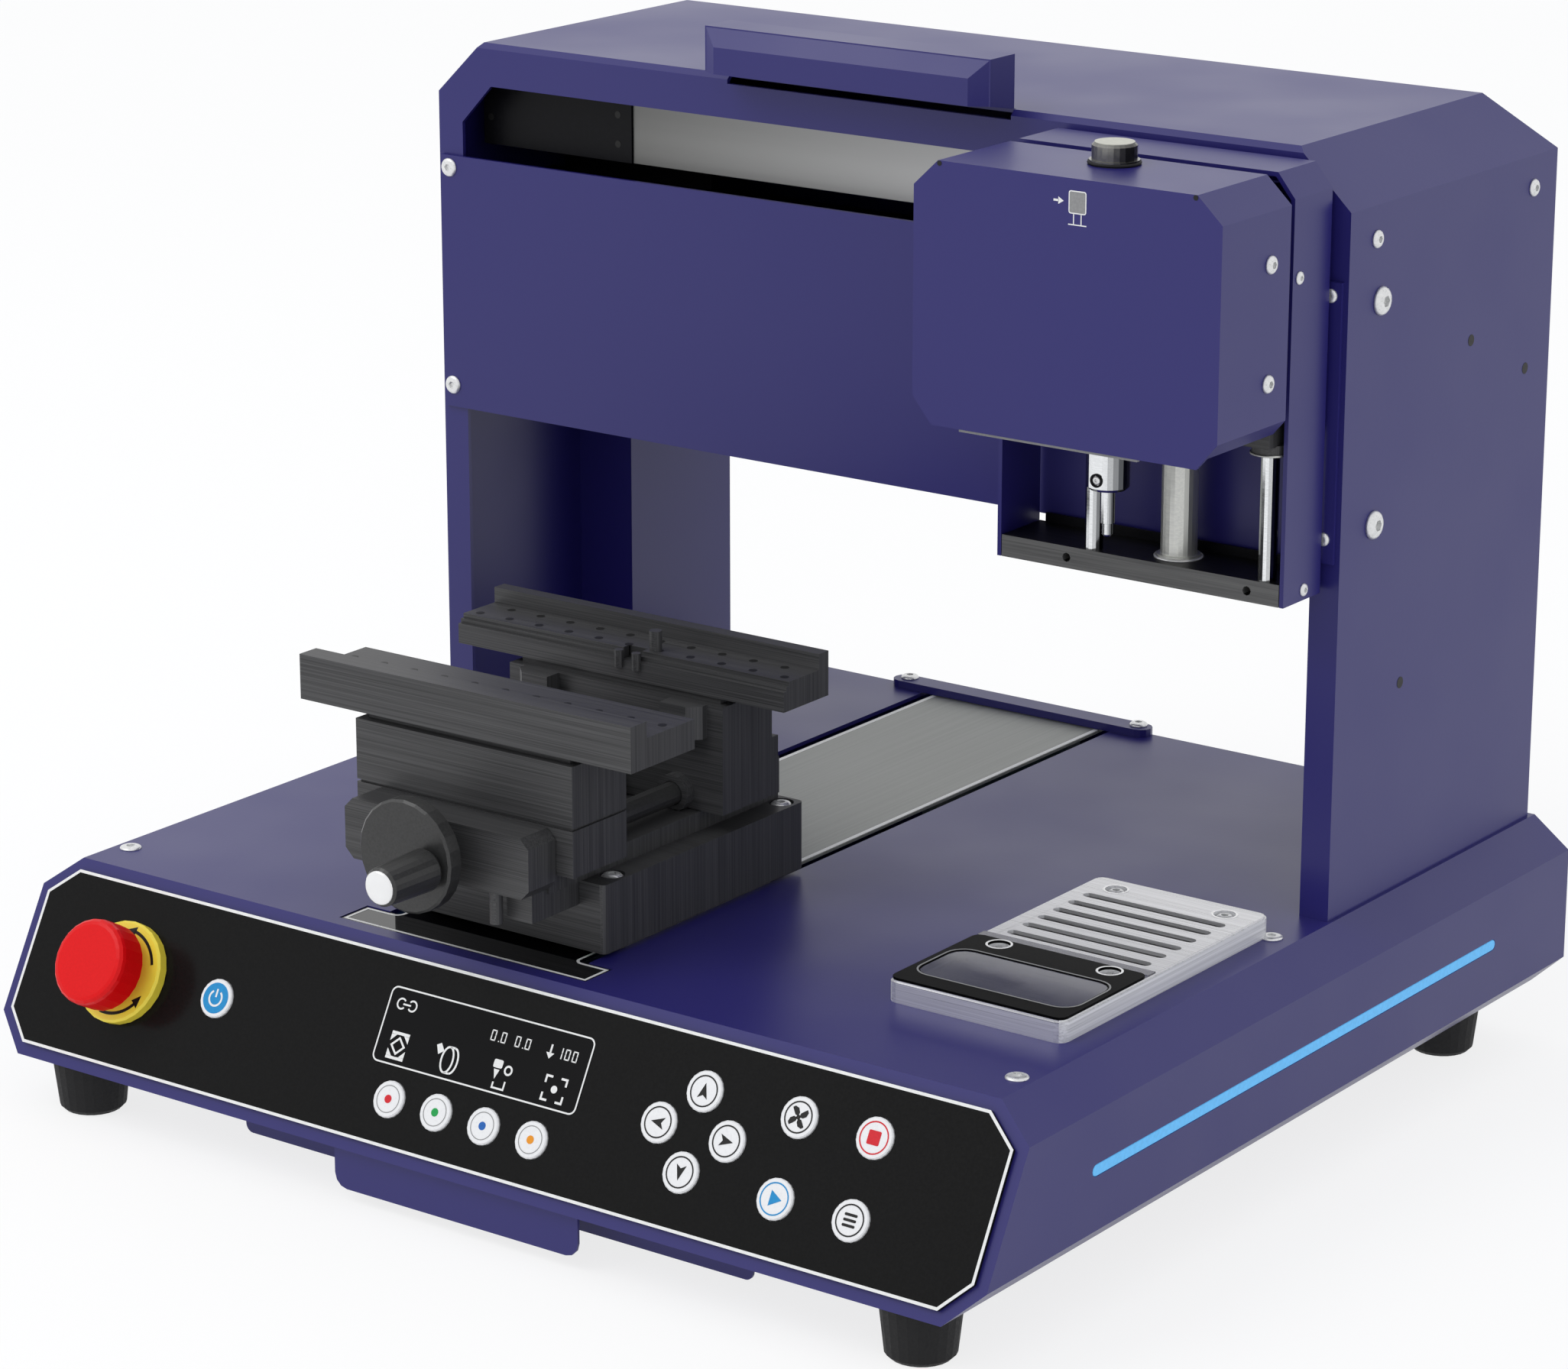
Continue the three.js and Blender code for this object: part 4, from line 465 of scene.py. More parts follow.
def offset(outline, distance):
    """Moves every side of a counter-clockwise outline inwards."""
    moved = []
    count = len(outline)
    for i in range(count):
        a = Vector(outline[i - 1])
        b = Vector(outline[i])
        c = Vector(outline[(i + 1) % count])
        before = (b - a).normalized()
        after = (c - b).normalized()
        reach = distance / (1 + before.dot(after))
        moved.append((b.x - (before.y + after.y) * reach, b.y + (before.x + after.x) * reach))
    return moved


def line_ring(bm, outline, width, low, high, material=0):
    """A closed printed line: the band between an outline and the same outline moved inwards."""
    inner = offset(outline, width)
    count = len(outline)
    rings = []
    for points, z in ((outline, low), (inner, low), (inner, high), (outline, high)):
        rings.append([bm.verts.new((x, y, z)) for x, y in points])
    for k in range(4):
        first, second = rings[k], rings[(k + 1) % 4]
        for i in range(count):
            j = (i + 1) % count
            face = bm.faces.new((first[i], first[j], second[j], second[i]))
            face.material_index = material


def stroke(bm, points, width, low, high, material=0, closed=False):
    """A printed line of even width along points, with mitred corners."""
    count = len(points)
    sides = []
    for i in range(count):
        here = Vector(points[i])
        back = Vector(points[i - 1]) if (closed or i > 0) else None
        ahead = Vector(points[(i + 1) % count]) if (closed or i < count - 1) else None
        before = (here - back).normalized() if back is not None else None
        after = (ahead - here).normalized() if ahead is not None else None
        before = before or after
        after = after or before
        normal = Vector((-(before.y + after.y), before.x + after.x))
        reach = width / 2 / max(0.3, 1 + before.dot(after))
        sides.append((here + normal * reach, here - normal * reach))
    spans = count if closed else count - 1
    for i in range(spans):
        j = (i + 1) % count
        quad = [sides[i][0], sides[i][1], sides[j][1], sides[j][0]]
        slab(bm, [(p.x, p.y) for p in quad], low, high, material)


def arc(cx, cy, radius, start, end, steps=16):
    """Points along an arc, from start to end in degrees."""
    return [
        (cx + radius * math.cos(math.radians(start + (end - start) * k / steps)),
         cy + radius * math.sin(math.radians(start + (end - start) * k / steps)))
        for k in range(steps + 1)
    ]


def turned(points, degrees, scale=1):
    """Points turned about the origin, and scaled."""
    cosine = math.cos(math.radians(degrees)) * scale
    sine = math.sin(math.radians(degrees)) * scale
    return [(x * cosine - y * sine, x * sine + y * cosine) for x, y in points]


def disc(bm, place, radius, sides):
    """A thin disc on the surface of place, such as the painted shade of a hole."""
    top = slab(bm, circle(0, 0, radius, sides), *layer())
    whole = {v for vert in top for face in vert.link_faces for v in face.verts}
    bmesh.ops.transform(bm, matrix=place, verts=list(whole))


def lathe(bm, profile, place=None):
    """A solid of revolution about z from a profile of (radius, z), closed on the axis."""
    rings = []
    for radius, z in profile:
        points = circle(0, 0, radius) if radius else [(0, 0)]
        rings.append([bm.verts.new((x, y, z)) for x, y in points])
    for low, high in zip(rings, rings[1:]):
        for i in range(ROUND):
            j = (i + 1) % ROUND
            corners = [low[i % len(low)], low[j % len(low)], high[j % len(high)], high[i % len(high)]]
            face = bm.faces.new(list(dict.fromkeys(corners)))
            face.smooth = True
    if place is not None:
        bmesh.ops.transform(bm, matrix=place, verts=[v for ring in rings for v in ring])


def ring_profile(inner, outer, height):
    """Closed profile of a ring with a square section."""
    return [(inner, 0), (outer, 0), (outer, height), (inner, height), (inner, 0)]


def screw_head(bm, place, radius, height):
    """A button-head screw with a hexagon socket, seated on the plane of place."""
    outline = circle(0, 0, 1)
    hexagon = []
    for x, y in outline:
        angle = math.atan2(y, x) % (math.pi / 3) - math.pi / 6
        reach = SOCKET * radius * math.cos(math.pi / 6) / math.cos(angle)
        hexagon.append((x * reach, y * reach))
    profile = [
        (outline, radius, 0), (outline, radius, 0.28 * height),
        (outline, 0.93 * radius, 0.62 * height), (outline, 0.76 * radius, 0.9 * height),
        (outline, 0.55 * radius, height), (hexagon, 1, height), (hexagon, 1, 0.25 * height),
    ]
    rings = [
        [bm.verts.new((x * scale, y * scale, z)) for x, y in points] for points, scale, z in profile
    ]
    for low, high in zip(rings, rings[1:]):
        for i in range(ROUND):
            j = (i + 1) % ROUND
            face = bm.faces.new((low[i], low[j], high[j], high[i]))
            face.smooth = high is not rings[-1] and low is not rings[-3]
    bm.faces.new(rings[-1])
    bm.faces.new(reversed(rings[0]))
    bmesh.ops.transform(bm, matrix=place, verts=[v for ring in rings for v in ring])


def screws(name, body, places):
    """Screws as one piece: each place is (x, y, z, out, radius, height)."""
    bm = bmesh.new()
    for x, y, z, out, radius, height in places:
        screw_head(bm, spot(x, y, z, out), radius, height)
    new_piece(name, bm, ["zinc"], body)


# Settings that a user would change

class EngraverLook(bpy.types.PropertyGroup):
    """Colours of the machine"""

    housing_colour: bpy.props.StringProperty(
        name="Housing colour", description="Powder coat of the housings, as an sRGB hex code",
        default="#26226c",
    )
    light_colour: bpy.props.StringProperty(
        name="Light colour", description="Glow of the light strips, as an sRGB hex code",
        default="#5fb0e8",
    )


class EngraverTrim(bpy.types.PropertyGroup):
    """Sizes of the edges and printed lines"""

    fold_radius: bpy.props.FloatProperty(
        name="Fold radius", description="Rounding of the folds and edges of the sheet housings",
        default=0.55 * MM, min=0.0, unit="LENGTH",
    )
    edge_radius: bpy.props.FloatProperty(
        name="Edge radius", description="Rounding of the edges of machined pieces",
        default=0.3 * MM, min=0.0, unit="LENGTH",
    )
    border_width: bpy.props.FloatProperty(
        name="Border width", description="Width of the white line round the control panel",
        default=1.0 * MM, min=0.0, unit="LENGTH",
    )
    outline_width: bpy.props.FloatProperty(
        name="Outline width", description="Width of the white lines along the slot and its band",
        default=1.0 * MM, min=0.0, unit="LENGTH",
    )


class EngraverStage(bpy.types.PropertyGroup):
    """The floor, the light and the camera"""

    floor_size: bpy.props.FloatProperty(
        name="Floor size", description="Side of the square floor", default=12.0, unit="LENGTH",
    )
    lens: bpy.props.FloatProperty(
        name="Lens", description="Focal length of the camera in millimetres", default=113.71,
    )
    key_energy: bpy.props.FloatProperty(
        name="Key light", description="Power of the large soft lamp in watts", default=16.0,
        unit="POWER",
    )


# Which finish each CAD node takes
NODE_FINISHES = {
    "blue_sheet": (
        "base_shell", "bottom_plate", "chip_tray", "rear_panel", "gantry_shell", "front_cover",
        "cable_hood", "x_carriage", "head_cover", "band_bracket",
    ),
    "black_sheet": ("x_guide",),
    "gloss_black": ("cover_band_front",),
    "band_sheet": ("cover_band_rear", "y_drive"),
    "curtain": ("x_curtain",),
    "panel_film": ("control_panel",),
    "plate_film": ("rack_plate",),
    "display_glass": ("display_window",),
    "clear_pane": ("rack_window",),
    "key_white": tuple("key_" + name for name in KEY_NAMES),
    "stop_red": ("estop_button",),
    "stop_yellow": ("estop_ring",),
    "light_blue": ("led_left", "led_right"),
    "rubber": ("foot_front_left", "foot_front_right", "foot_rear_left", "foot_rear_right"),
    "steel": ("guide_rod_left", "guide_rod_right", "tool_holder", "tool_bit"),
    "aluminium": ("centre_sleeve", "y_carriage"),
    "brushed_rack": ("rack_block",),
    "black_aluminium": (
        "vise_base", "vise_bed", "jaw_carriage_front",
        "jaw_carriage_rear", "jaw_front", "jaw_rear", "head_block",
    ),
    "black_plate": ("z_bottom_plate",),
    "turned_black": ("handwheel", "crank_grip", "vise_rod_left", "vise_rod_right"),
    "turned_grey": ("pressure_knob",),
}
NO_ROUNDING = {"rack_window", "tool_bit", "rack_plate", "control_panel", "x_curtain"}

# The mains inlet and its blades on the rear panel: x from and to, z from and to
INLET = (103, 137, 36.5, 63.5)
BLADES = (111.9, 128.1, 45.4, 54.6)


def within(points, area):
    """Whether all points lie in an area of x and z."""
    x0, x1, z0, z1 = area
    return all(x0 < p.x < x1 and z0 < p.z < z1 for p in points)


def round_edges(node, width, angle):
    """Rounds the sharp edges of a CAD node with modifiers, so that its mesh stays as it came from
    model.glb.
    """
    flat = node.modifiers.new("flat faces", "DECIMATE")
    flat.decimate_type = "DISSOLVE"
    flat.angle_limit = math.radians(0.5)
    flat.delimit = {"MATERIAL"}
    edge = node.modifiers.new("edge", "BEVEL")
    edge.width = width
    edge.segments = 2
    edge.limit_method = "ANGLE"
    edge.angle_limit = math.radians(angle)
    edge.harden_normals = False
    edge.miter_outer = "MITER_ARC"


class ENGRAVER_OT_finishes(bpy.types.Operator):
    """Give every CAD piece its finish and round its edges"""

    bl_idname = "engraver.finishes"
    bl_label = "Finishes of the frame"

    def execute(self, context):
        make_finishes(context.scene.engraver_look)
        trim = context.scene.engraver_trim
        for finish, nodes in NODE_FINISHES.items():
            for name in nodes:
                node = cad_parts[name]
                node.data.materials.clear()
                node.data.materials.append(FINISHES[finish])
                node.data.shade_smooth()
                node.data.set_sharp_from_angle(angle=math.radians(32))
                if name in NO_ROUNDING:
                    continue
                folded = finish == "blue_sheet"
                width = trim.fold_radius if folded else trim.edge_radius
                round_edges(node, width, 33 if folded else 40)
        # The mains inlet is a black moulding with plated blades
        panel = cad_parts["rear_panel"].data
        panel.materials.append(FINISHES["black_plastic"])
        panel.materials.append(FINISHES["zinc"])
        for face in panel.polygons:
            points = [panel.vertices[i].co / MM for i in face.vertices]
            if within(points, INLET):
                face.material_index = 2 if within(points, BLADES) else 1
        return {"FINISHED"}


# Printed signs

def power_sign(bm, r):
    """A disc with the power sign printed over it."""
    low, high = layer()
    slab(bm, circle(0, 0, 0.84 * r), low, high)
    for points in (arc(0, 0, 0.42 * r, 125, 415, 24), [(0, 0.05 * r), (0, 0.5 * r)]):
        stroke(bm, points, 0.11 * r, high, high + INK, 1)


# Outlines of the signs, and radius and width of their rings, in units of the key's radius
ARROW = [(0, 0.42), (-0.3, -0.38), (0, -0.2), (0.3, -0.38)]
BLADE = [
    (0.06, 0.0), (0.24, -0.1), (0.46, -0.06), (0.6, 0.12), (0.56, 0.28), (0.34, 0.22), (0.16, 0.16),
]
FAN = [circle(0, 0, 0.12, 16)] + [turned(BLADE, 90 * k + 20) for k in range(4)]
BARS = [rounded(-0.38, 0.38, y - 0.07, y + 0.07, 0.06, 2) for y in (-0.27, 0, 0.27)]
DOT = [circle(0, 0, 0.24)]
THIN_RING = (0.8, 0.045)
BLACK_RING = (0.82, 0.075)
COLOUR_RING = (0.84, 0.07)

# For each key its ring, the areas of its sign, and the inks of both
KEY_SIGNS = {
    "power": (None, [], ("ink_blue", "ink_white")),
    "red": (THIN_RING, DOT, ("ink_grey", "ink_red")),
    "green": (THIN_RING, DOT, ("ink_grey", "ink_green")),
    "blue": (THIN_RING, DOT, ("ink_grey", "ink_navy")),
    "orange": (THIN_RING, DOT, ("ink_grey", "ink_orange")),
    "up": (BLACK_RING, [ARROW], ("black_ink_and_hole_shade", "black_ink_and_hole_shade")),
    "left": (BLACK_RING, [turned(ARROW, 90)], ("black_ink_and_hole_shade", "black_ink_and_hole_shade")),
    "right": (BLACK_RING, [turned(ARROW, -90)], ("black_ink_and_hole_shade", "black_ink_and_hole_shade")),
    "down": (BLACK_RING, [turned(ARROW, 180)], ("black_ink_and_hole_shade", "black_ink_and_hole_shade")),
    "fan": (BLACK_RING, FAN, ("black_ink_and_hole_shade", "black_ink_and_hole_shade")),
    "stop": (COLOUR_RING, [rounded(-0.36, 0.36, -0.36, 0.36, 0.07, 3)], ("ink_red", "ink_red")),
    "start": (COLOUR_RING, [[(-0.26, -0.4), (0.44, 0), (-0.26, 0.4)]], ("ink_blue", "ink_blue")),
    "menu": (BLACK_RING, BARS, ("black_ink_and_hole_shade", "black_ink_and_hole_shade")),
}


class ENGRAVER_OT_key_signs(bpy.types.Operator):
    """Print the sign of each key on its face"""

    bl_idname = "engraver.key_signs"
    bl_label = "Signs on the keys"

    def execute(self, context):
        for name, (ring, areas, inks) in KEY_SIGNS.items():
            place, face = slope_face("key_" + name)
            r = max(math.hypot(x, y) for x, y in face)
            bm = bmesh.new()
            if ring is None:
                power_sign(bm, r)
            else:
                line_ring(bm, circle(0, 0, ring[0] * r), ring[1] * r, *layer())
            for area in areas:
                slab(bm, turned(area, 0, r), *layer(), 1)
            new_piece("key_" + name + "_sign", bm, inks, name + "_key", place)
        return {"FINISHED"}


DIGIT_HEIGHT = 3.2
DIGIT_LINE = 0.13 * DIGIT_HEIGHT


def number(bm, text, x, y):
    """Zeros, ones and points in plain segments, as a dot display draws them."""
    tall = DIGIT_HEIGHT
    wide = half = tall / 2
    reach = DIGIT_LINE / 2
    right = [(wide, half, wide, tall), (wide, 0, wide, half)]
    rest = [(0, tall, wide, tall), (0, 0, wide, 0), (0, 0, 0, half), (0, half, 0, tall)]
    bars = {"0": right + rest, "1": right}
    for sign in text:
        if sign == ".":
            slab(bm, rounded(x, x + DIGIT_LINE, y - reach, y + reach, DIGIT_LINE / 3, 2), *layer())
            x += 0.35 * tall
            continue
        for ax, ay, bx, by in bars[sign]:
            slab(bm, rect(x + ax - reach, x + bx + reach, y + ay - reach, y + by + reach), *layer())
        x += 0.95 * tall


class Pen:
    """Draws flat signs round a middle, with points and widths in units of its own."""

    def __init__(self, bm, unit):
        self.bm = bm
        self.unit = unit
        self.x = self.y = 0

    def at(self, x, y):
        """Moves the middle, in millimetres."""
        self.x = x
        self.y = y

    def spread(self, points):
        return [(self.x + x * self.unit, self.y + y * self.unit) for x, y in points]

    def line(self, points, width, closed=False):
        stroke(self.bm, self.spread(points), width * self.unit, *layer(), closed=closed)

    def area(self, points):
        slab(self.bm, self.spread(points), *layer())


class ENGRAVER_OT_display_signs(bpy.types.Operator):
    """Print the frame line of the display and its generic signs"""

    bl_idname = "engraver.display_signs"
    bl_label = "Signs of the display"

    def execute(self, context):
        place, face = slope_face("display_window")
        half_w = max(x for x, y in face)
        half_h = max(y for x, y in face)
        bm = bmesh.new()
        line_ring(bm, rounded(-half_w, half_w, -half_h, half_h, 2.6), 0.55, *layer())
        new_piece("display_frame_line", bm, ["ink_white"], "frame", place)

        bm = bmesh.new()
        pen = Pen(bm, 1.15)
        sides = (-1, 1)
        row = -6.3
        # Clamped work piece between two jaws
        pen.at(-33.5, row)
        pen.line([(0, 2.3), (2.3, 0), (0, -2.3), (-2.3, 0)], 0.6, True)
        for s in sides:
            pen.area([(-3.2, 4 * s), (3.2, 4 * s), (3.2, 3 * s), (0, 3.2 * s), (-3.2, 3 * s)][::s])
            for e in sides:
                pen.area([(3.2 * e, 3.2 * s), (3.2 * e, 1.1 * s), (1.2 * e, 3.2 * s)])
        # Finger ring seen half from the side, with a stone
        pen.at(-12.5, row)
        pen.line([(0.55 * x, y) for x, y in arc(0, 0, 3.7, 0, 345, 24)], 0.6, True)
        pen.line([(1.7 + 0.55 * x, y) for x, y in arc(0, 0, 3.7, -84, 84, 14)], 0.6)
        for s in sides:
            pen.line([(0, 3.7 * s), (1.8, 3.7 * s)], 0.6)
        pen.area([(-4.9, 3.4), (-3.6, 0.9), (-1.8, 2.2), (-3.4, 4.2)])
        # Tool over the work, with a path below
        pen.at(9.5, row)
        pen.area(rounded(-3, 0.2, 1.6, 4, 0.5, 3))
        pen.area([(-2.4, 1.2), (-1.4, -1.6), (-0.4, 1.2)])
        pen.line(arc(2.6, 1.6, 1.2, 0, 345, 14), 0.6, True)
        pen.line([(-1.4, -2.4), (-1.4, -4), (2.6, -4), (2.6, -1.6)], 0.55)
        # Focus corners round a dot
        pen.at(32, row)
        for e in sides:
            for s in sides:
                pen.line([(3.6 * e, 1.4 * s), (3.6 * e, 3.4 * s), (1.5 * e, 3.4 * s)], 0.65)
        pen.area(circle(0, 0, 1.1, 16))
        # Upper row: linked plugs, a position and the depth of the tool
        pen.at(-37, 7.4)
        pen.line(arc(0, 0, 1.5, 40, 320, 12), 0.5)
        pen.line(arc(4, 0, 1.5, 220, 500, 12), 0.5)
        pen.line([(0.6, 0), (3.4, 0)], 0.5)
        for text, x in (("0.0", 2), ("0.0", 12), ("100", 29.4)):
            number(bm, text, x, 3.8)
        pen.at(26.4, 5.2)
        pen.line([(0, 2), (0, -0.6)], 0.6)
        pen.area([(-1.4, -0.4), (0, -2.1), (1.4, -0.4)])
        new_piece("display_signs", bm, ["ink_white"], "frame", place)
        return {"FINISHED"}


class ENGRAVER_OT_panel_border(bpy.types.Operator):
    """Print the white line round the control panel"""

    bl_idname = "engraver.panel_border"
    bl_label = "Border of the panel"

    def execute(self, context):
        place, face = slope_face("control_panel")
        wide = max(x for x, y in face)
        tall = max(y for x, y in face)
        right = [y for x, y in face if x > wide - FLAT]
        top_x = max(x for x, y in face if y > tall - FLAT)
        low_x = max(x for x, y in face if y < FLAT - tall)
        half = [(low_x, -tall), (wide, min(right)), (wide, max(right)), (top_x, tall)]
        outline = half + [(-x, y) for x, y in reversed(half)]
        bm = bmesh.new()
        line_ring(bm, outline, context.scene.engraver_trim.border_width / MM, *layer())
        new_piece("panel_border_line", bm, ["ink_white"], "frame", place)
        return {"FINISHED"}


class ENGRAVER_OT_stop_signs(bpy.types.Operator):
    """Print the turning arrows on the collar of the emergency stop"""

    bl_idname = "engraver.stop_signs"
    bl_label = "Arrows of the emergency stop"

    def execute(self, context):
        place, face = slope_face("estop_ring")
        radius = 14.6
        barb = 1.8
        bm = bmesh.new()
        for start in (20, 140, 260):
            stroke(bm, arc(0, 0, radius, start, start + 62, 14), 1.1, *layer())
            root = turned([(radius - barb, 0), (radius + barb, 0)], start + 60)
            slab(bm, root + turned([(radius, 0)], start + 76), *layer())
        new_piece("stop_turn_arrows", bm, ["black_ink_and_hole_shade"], "frame", place)
        return {"FINISHED"}


class ENGRAVER_OT_slot_lines(bpy.types.Operator):
    """Print the white lines on the cover plate of the slot and on its band"""

    bl_idname = "engraver.slot_lines"
    bl_label = "Lines along the slot"

    def execute(self, context):
        width = context.scene.engraver_trim.outline_width / MM
        points = [v.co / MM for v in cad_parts["cover_band_front"].data.vertices]
        top = max(p.z for p in points)
        wide = max(p.x for p in points)
        narrow = max(p.x for p in points if p.x < wide - 5)
        front = min(p.y for p in points)
        step = max(p.y for p in points if p.x > wide - 1)
        low, high = in_mm(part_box("cover_band_rear"))
        middle = (low.x + high.x) / 2
        # The line runs inside the edges of the plate, with a round bend at the step
        inset = 1.3
        turn = 3.2
        half = wide - middle - inset
        neck = narrow - middle - 0.6
        bend = [(neck + turn - x, step - inset + turn - y) for x, y in arc(0, 0, turn, 0, 90, 6)]
        side = [(neck, low.y - 0.4)] + bend + [(half, step - inset), (half, front + inset)]
        path = side + [(-x, y) for x, y in reversed(side)]
        bm = bmesh.new()
        stroke(bm, [(middle + x, y) for x, y in path], width, *layer(top))
        end = in_mm(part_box("band_bracket"))[0].y
        for edge in (low.x + 1.2, high.x - 1.2):
            stroke(bm, [(edge, low.y + 0.2), (edge, end)], 1.7 * width, *layer(high.z))
        new_piece("slot_lines", bm, ["ink_white"], "frame")
        return {"FINISHED"}


class ENGRAVER_OT_gantry_holes(bpy.types.Operator):
    """Paint the shade of the small tapped holes of the gantry, as black discs"""

    bl_idname = "engraver.gantry_holes"
    bl_label = "Holes of the gantry"

    def execute(self, context):
        side = in_mm(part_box("gantry_shell"))[1].x
        plate = in_mm(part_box("x_guide"))[0].y
        bm = bmesh.new()
        for x, z in ((-117.1, 318.9), (-117.1, 308.3), (-175.6, 311.9)):
            disc(bm, spot(x, plate, z, -Y), 1.3, 20)
        for y, z in ((131.7, 265.0), (171.1, 248.0), (91.5, 155.0)):
            disc(bm, spot(side, y, z, X), 2.0, 20)
        for y, z in ((131.7, 265.0), (91.5, 155.0)):
            disc(bm, spot(-side, y, z, -X), 2.0, 20)
        new_piece("gantry_holes", bm, ["black_ink_and_hole_shade"], "frame")
        return {"FINISHED"}


# Screws of the housings: x, y, z, direction, radius and height

TOP_SCREWS = [
    (x, y, 82.1, Z, 3.8, 1.0)
    for x, y in ((-185, -130.85), (185, -130.85), (-182.5, 24.15), (182.5, 24.15))
]
FRONT_SCREWS = [
    (x, 46.75, z, -Y, radius, 1.1)
    for x, radius in ((-184.2, 3.4), (184.2, 2.3)) for z in (213.6, 294.5)
]
SIDE_SCREWS = [
    (x, y, z, out, radius, height) for x, out in ((189.7, X), (-189.7, -X))
    for y, z, radius, height in (
        (171.65, 310.6, 3.0, 1.4), (65.45, 310.6, 3.0, 1.4),
        (69.45, 289.6, 4.8, 2.2), (69.25, 214.5, 4.8, 2.2),
    )
]
BAND_SCREWS = [(x, 190.15, 85.0, Z, 3.4, 1.4) for x in (-78.5, 25.5)]


class ENGRAVER_OT_screws(bpy.types.Operator):
    """Set the screws of the housings, the head and the vise"""

    bl_idname = "engraver.screws"
    bl_label = "Screws"

    def execute(self, context):
        screws("housing_screws", "frame", TOP_SCREWS + FRONT_SCREWS + SIDE_SCREWS + BAND_SCREWS)
        low, high = in_mm(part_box("head_cover"))
        screws("head_cover_screws", "head", [
            (x, 3.65, z, out, 3.0, 1.5)
            for x, out in ((high.x, X), (low.x, -X)) for z in (312.3, 274)
        ])
        low, high = in_mm(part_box("x_carriage"))
        screws("carriage_screws", "carriage", [
            (x, y, z, out, 2.2, 0.9)
            for x, out in ((high.x, X), (low.x, -X)) for y, z in ((25.65, 304), (34.25, 199.4))
        ])
        low, high = in_mm(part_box("vise_base"))
        inset = 5.6
        screws("vise_base_screws", "table", [
            (x, y, high.z - 2.0, Z, 3.9, 2.2)
            for x in (low.x + inset, high.x - inset)
            for y in (low.y + 2 * inset, high.y - inset)
        ])
        return {"FINISHED"}


# Slots of the tool rack: how many, their pitch, and the first one's distance from the rear edge
RACK_SLOTS = 6
SLOT_PITCH = 9.1
FIRST_SLOT = 19

PIN_PITCH = 13        # of the pin holes along the jaws
TRAY_WALL = 148.9     # from the tray's rear edge to its front wall


class ENGRAVER_OT_rack_trim(bpy.types.Operator):
    """Set the screws of the tool rack and the line round its window"""

    bl_idname = "engraver.rack_trim"
    bl_label = "Trim of the rack"

    def execute(self, context):
        low, high = in_mm(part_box("rack_block"))
        plate_low, plate_high = in_mm(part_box("rack_plate"))
        pane_low, pane_high = in_mm(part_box("rack_window"))
        middle = (low.x + high.x) / 2
        columns = (middle - 21.2, middle + 21.2)
        # Rows of screws: y, and height of the surface round them
        rows = ((high.y - 8.8, high.z), (low.y + 46, plate_high.z))
        screws("rack_screws", "frame", [
            (x, y, high.z - 3, Z, 3.3, 2.8) for x in columns for y, level in rows
        ])
        margin = 1.2
        outline = rounded(
            pane_low.x - margin, pane_high.x + margin, pane_low.y - margin, pane_high.y + margin, 7.2,
        )
        bm = bmesh.new()
        line_ring(bm, outline, 0.6, *layer(plate_high.z))
        new_piece("rack_window_line", bm, ["ink_grey"], "frame")
        # Painted shade: dark strips low in the slots, where the tools stand
        bm = bmesh.new()
        for i in range(RACK_SLOTS):
            y = high.y - FIRST_SLOT - SLOT_PITCH * i
            strip = rounded(middle - 27.4, middle + 27.4, y - 1.9, y + 1.9, 1.85)
            slab(bm, strip, high.z - 4.95, high.z - 1.2)
        new_piece("rack_slot_shade_strips", bm, ["rubber"], "frame")
        # Bright countersink rings round the screws
        bm = bmesh.new()
        for x in columns:
            for y, level in rows:
                line_ring(bm, circle(x, y, 4.5), 0.75, *layer(level))
        new_piece("rack_screw_rings", bm, ["polished"], "frame")
        # Clear strip behind the cover plate
        bm = bmesh.new()
        strip = rect(plate_low.x, plate_high.x, plate_high.y + 0.1, plate_high.y + 4.3)
        slab(bm, strip, high.z + LIFT, high.z + 0.6)
        new_piece("rack_clear_strip", bm, ["clear_pane"], "frame")
        return {"FINISHED"}


class ENGRAVER_OT_vise_marks(bpy.types.Operator):
    """Paint shade into the pin holes of the jaws as black discs, and cap the crank grip"""

    bl_idname = "engraver.vise_marks"
    bl_label = "Marks of the vise"

    def execute(self, context):
        low, high = in_mm(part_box("jaw_front"))
        deck = high.z - 5.5
        middle = (low.x + high.x) / 2
        # For each jaw its rows of holes: y and count
        jaws = {"front_jaw": ((-117.25, 11),), "rear_jaw": ((-51.15, 11), (-42.15, 10))}
        for body, rows in jaws.items():
            bm = bmesh.new()
            for y, count in rows:
                for i in range(count):
                    x = middle + (i - (count - 1) / 2) * PIN_PITCH
                    # Painted shade: a black disc in each pin hole
                    slab(bm, circle(x, y, 1.5, 16), *layer(deck))
            new_piece(body + "_pin_hole_shade", bm, ["black_ink_and_hole_shade"], body)
        low, high = in_mm(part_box("crank_grip"))
        centre = (low + high) / 2
        bm = bmesh.new()
        lathe(bm, [(0, -1.5), (5.6, -1.5), (5.6, 0.35), (5.04, 0.7), (2.8, 0.95), (0, 1.05)])
        new_piece(
            "grip_cap", bm, ["polished"], "grip", spot(centre.x, low.y, centre.z, -Y),
        )
        return {"FINISHED"}


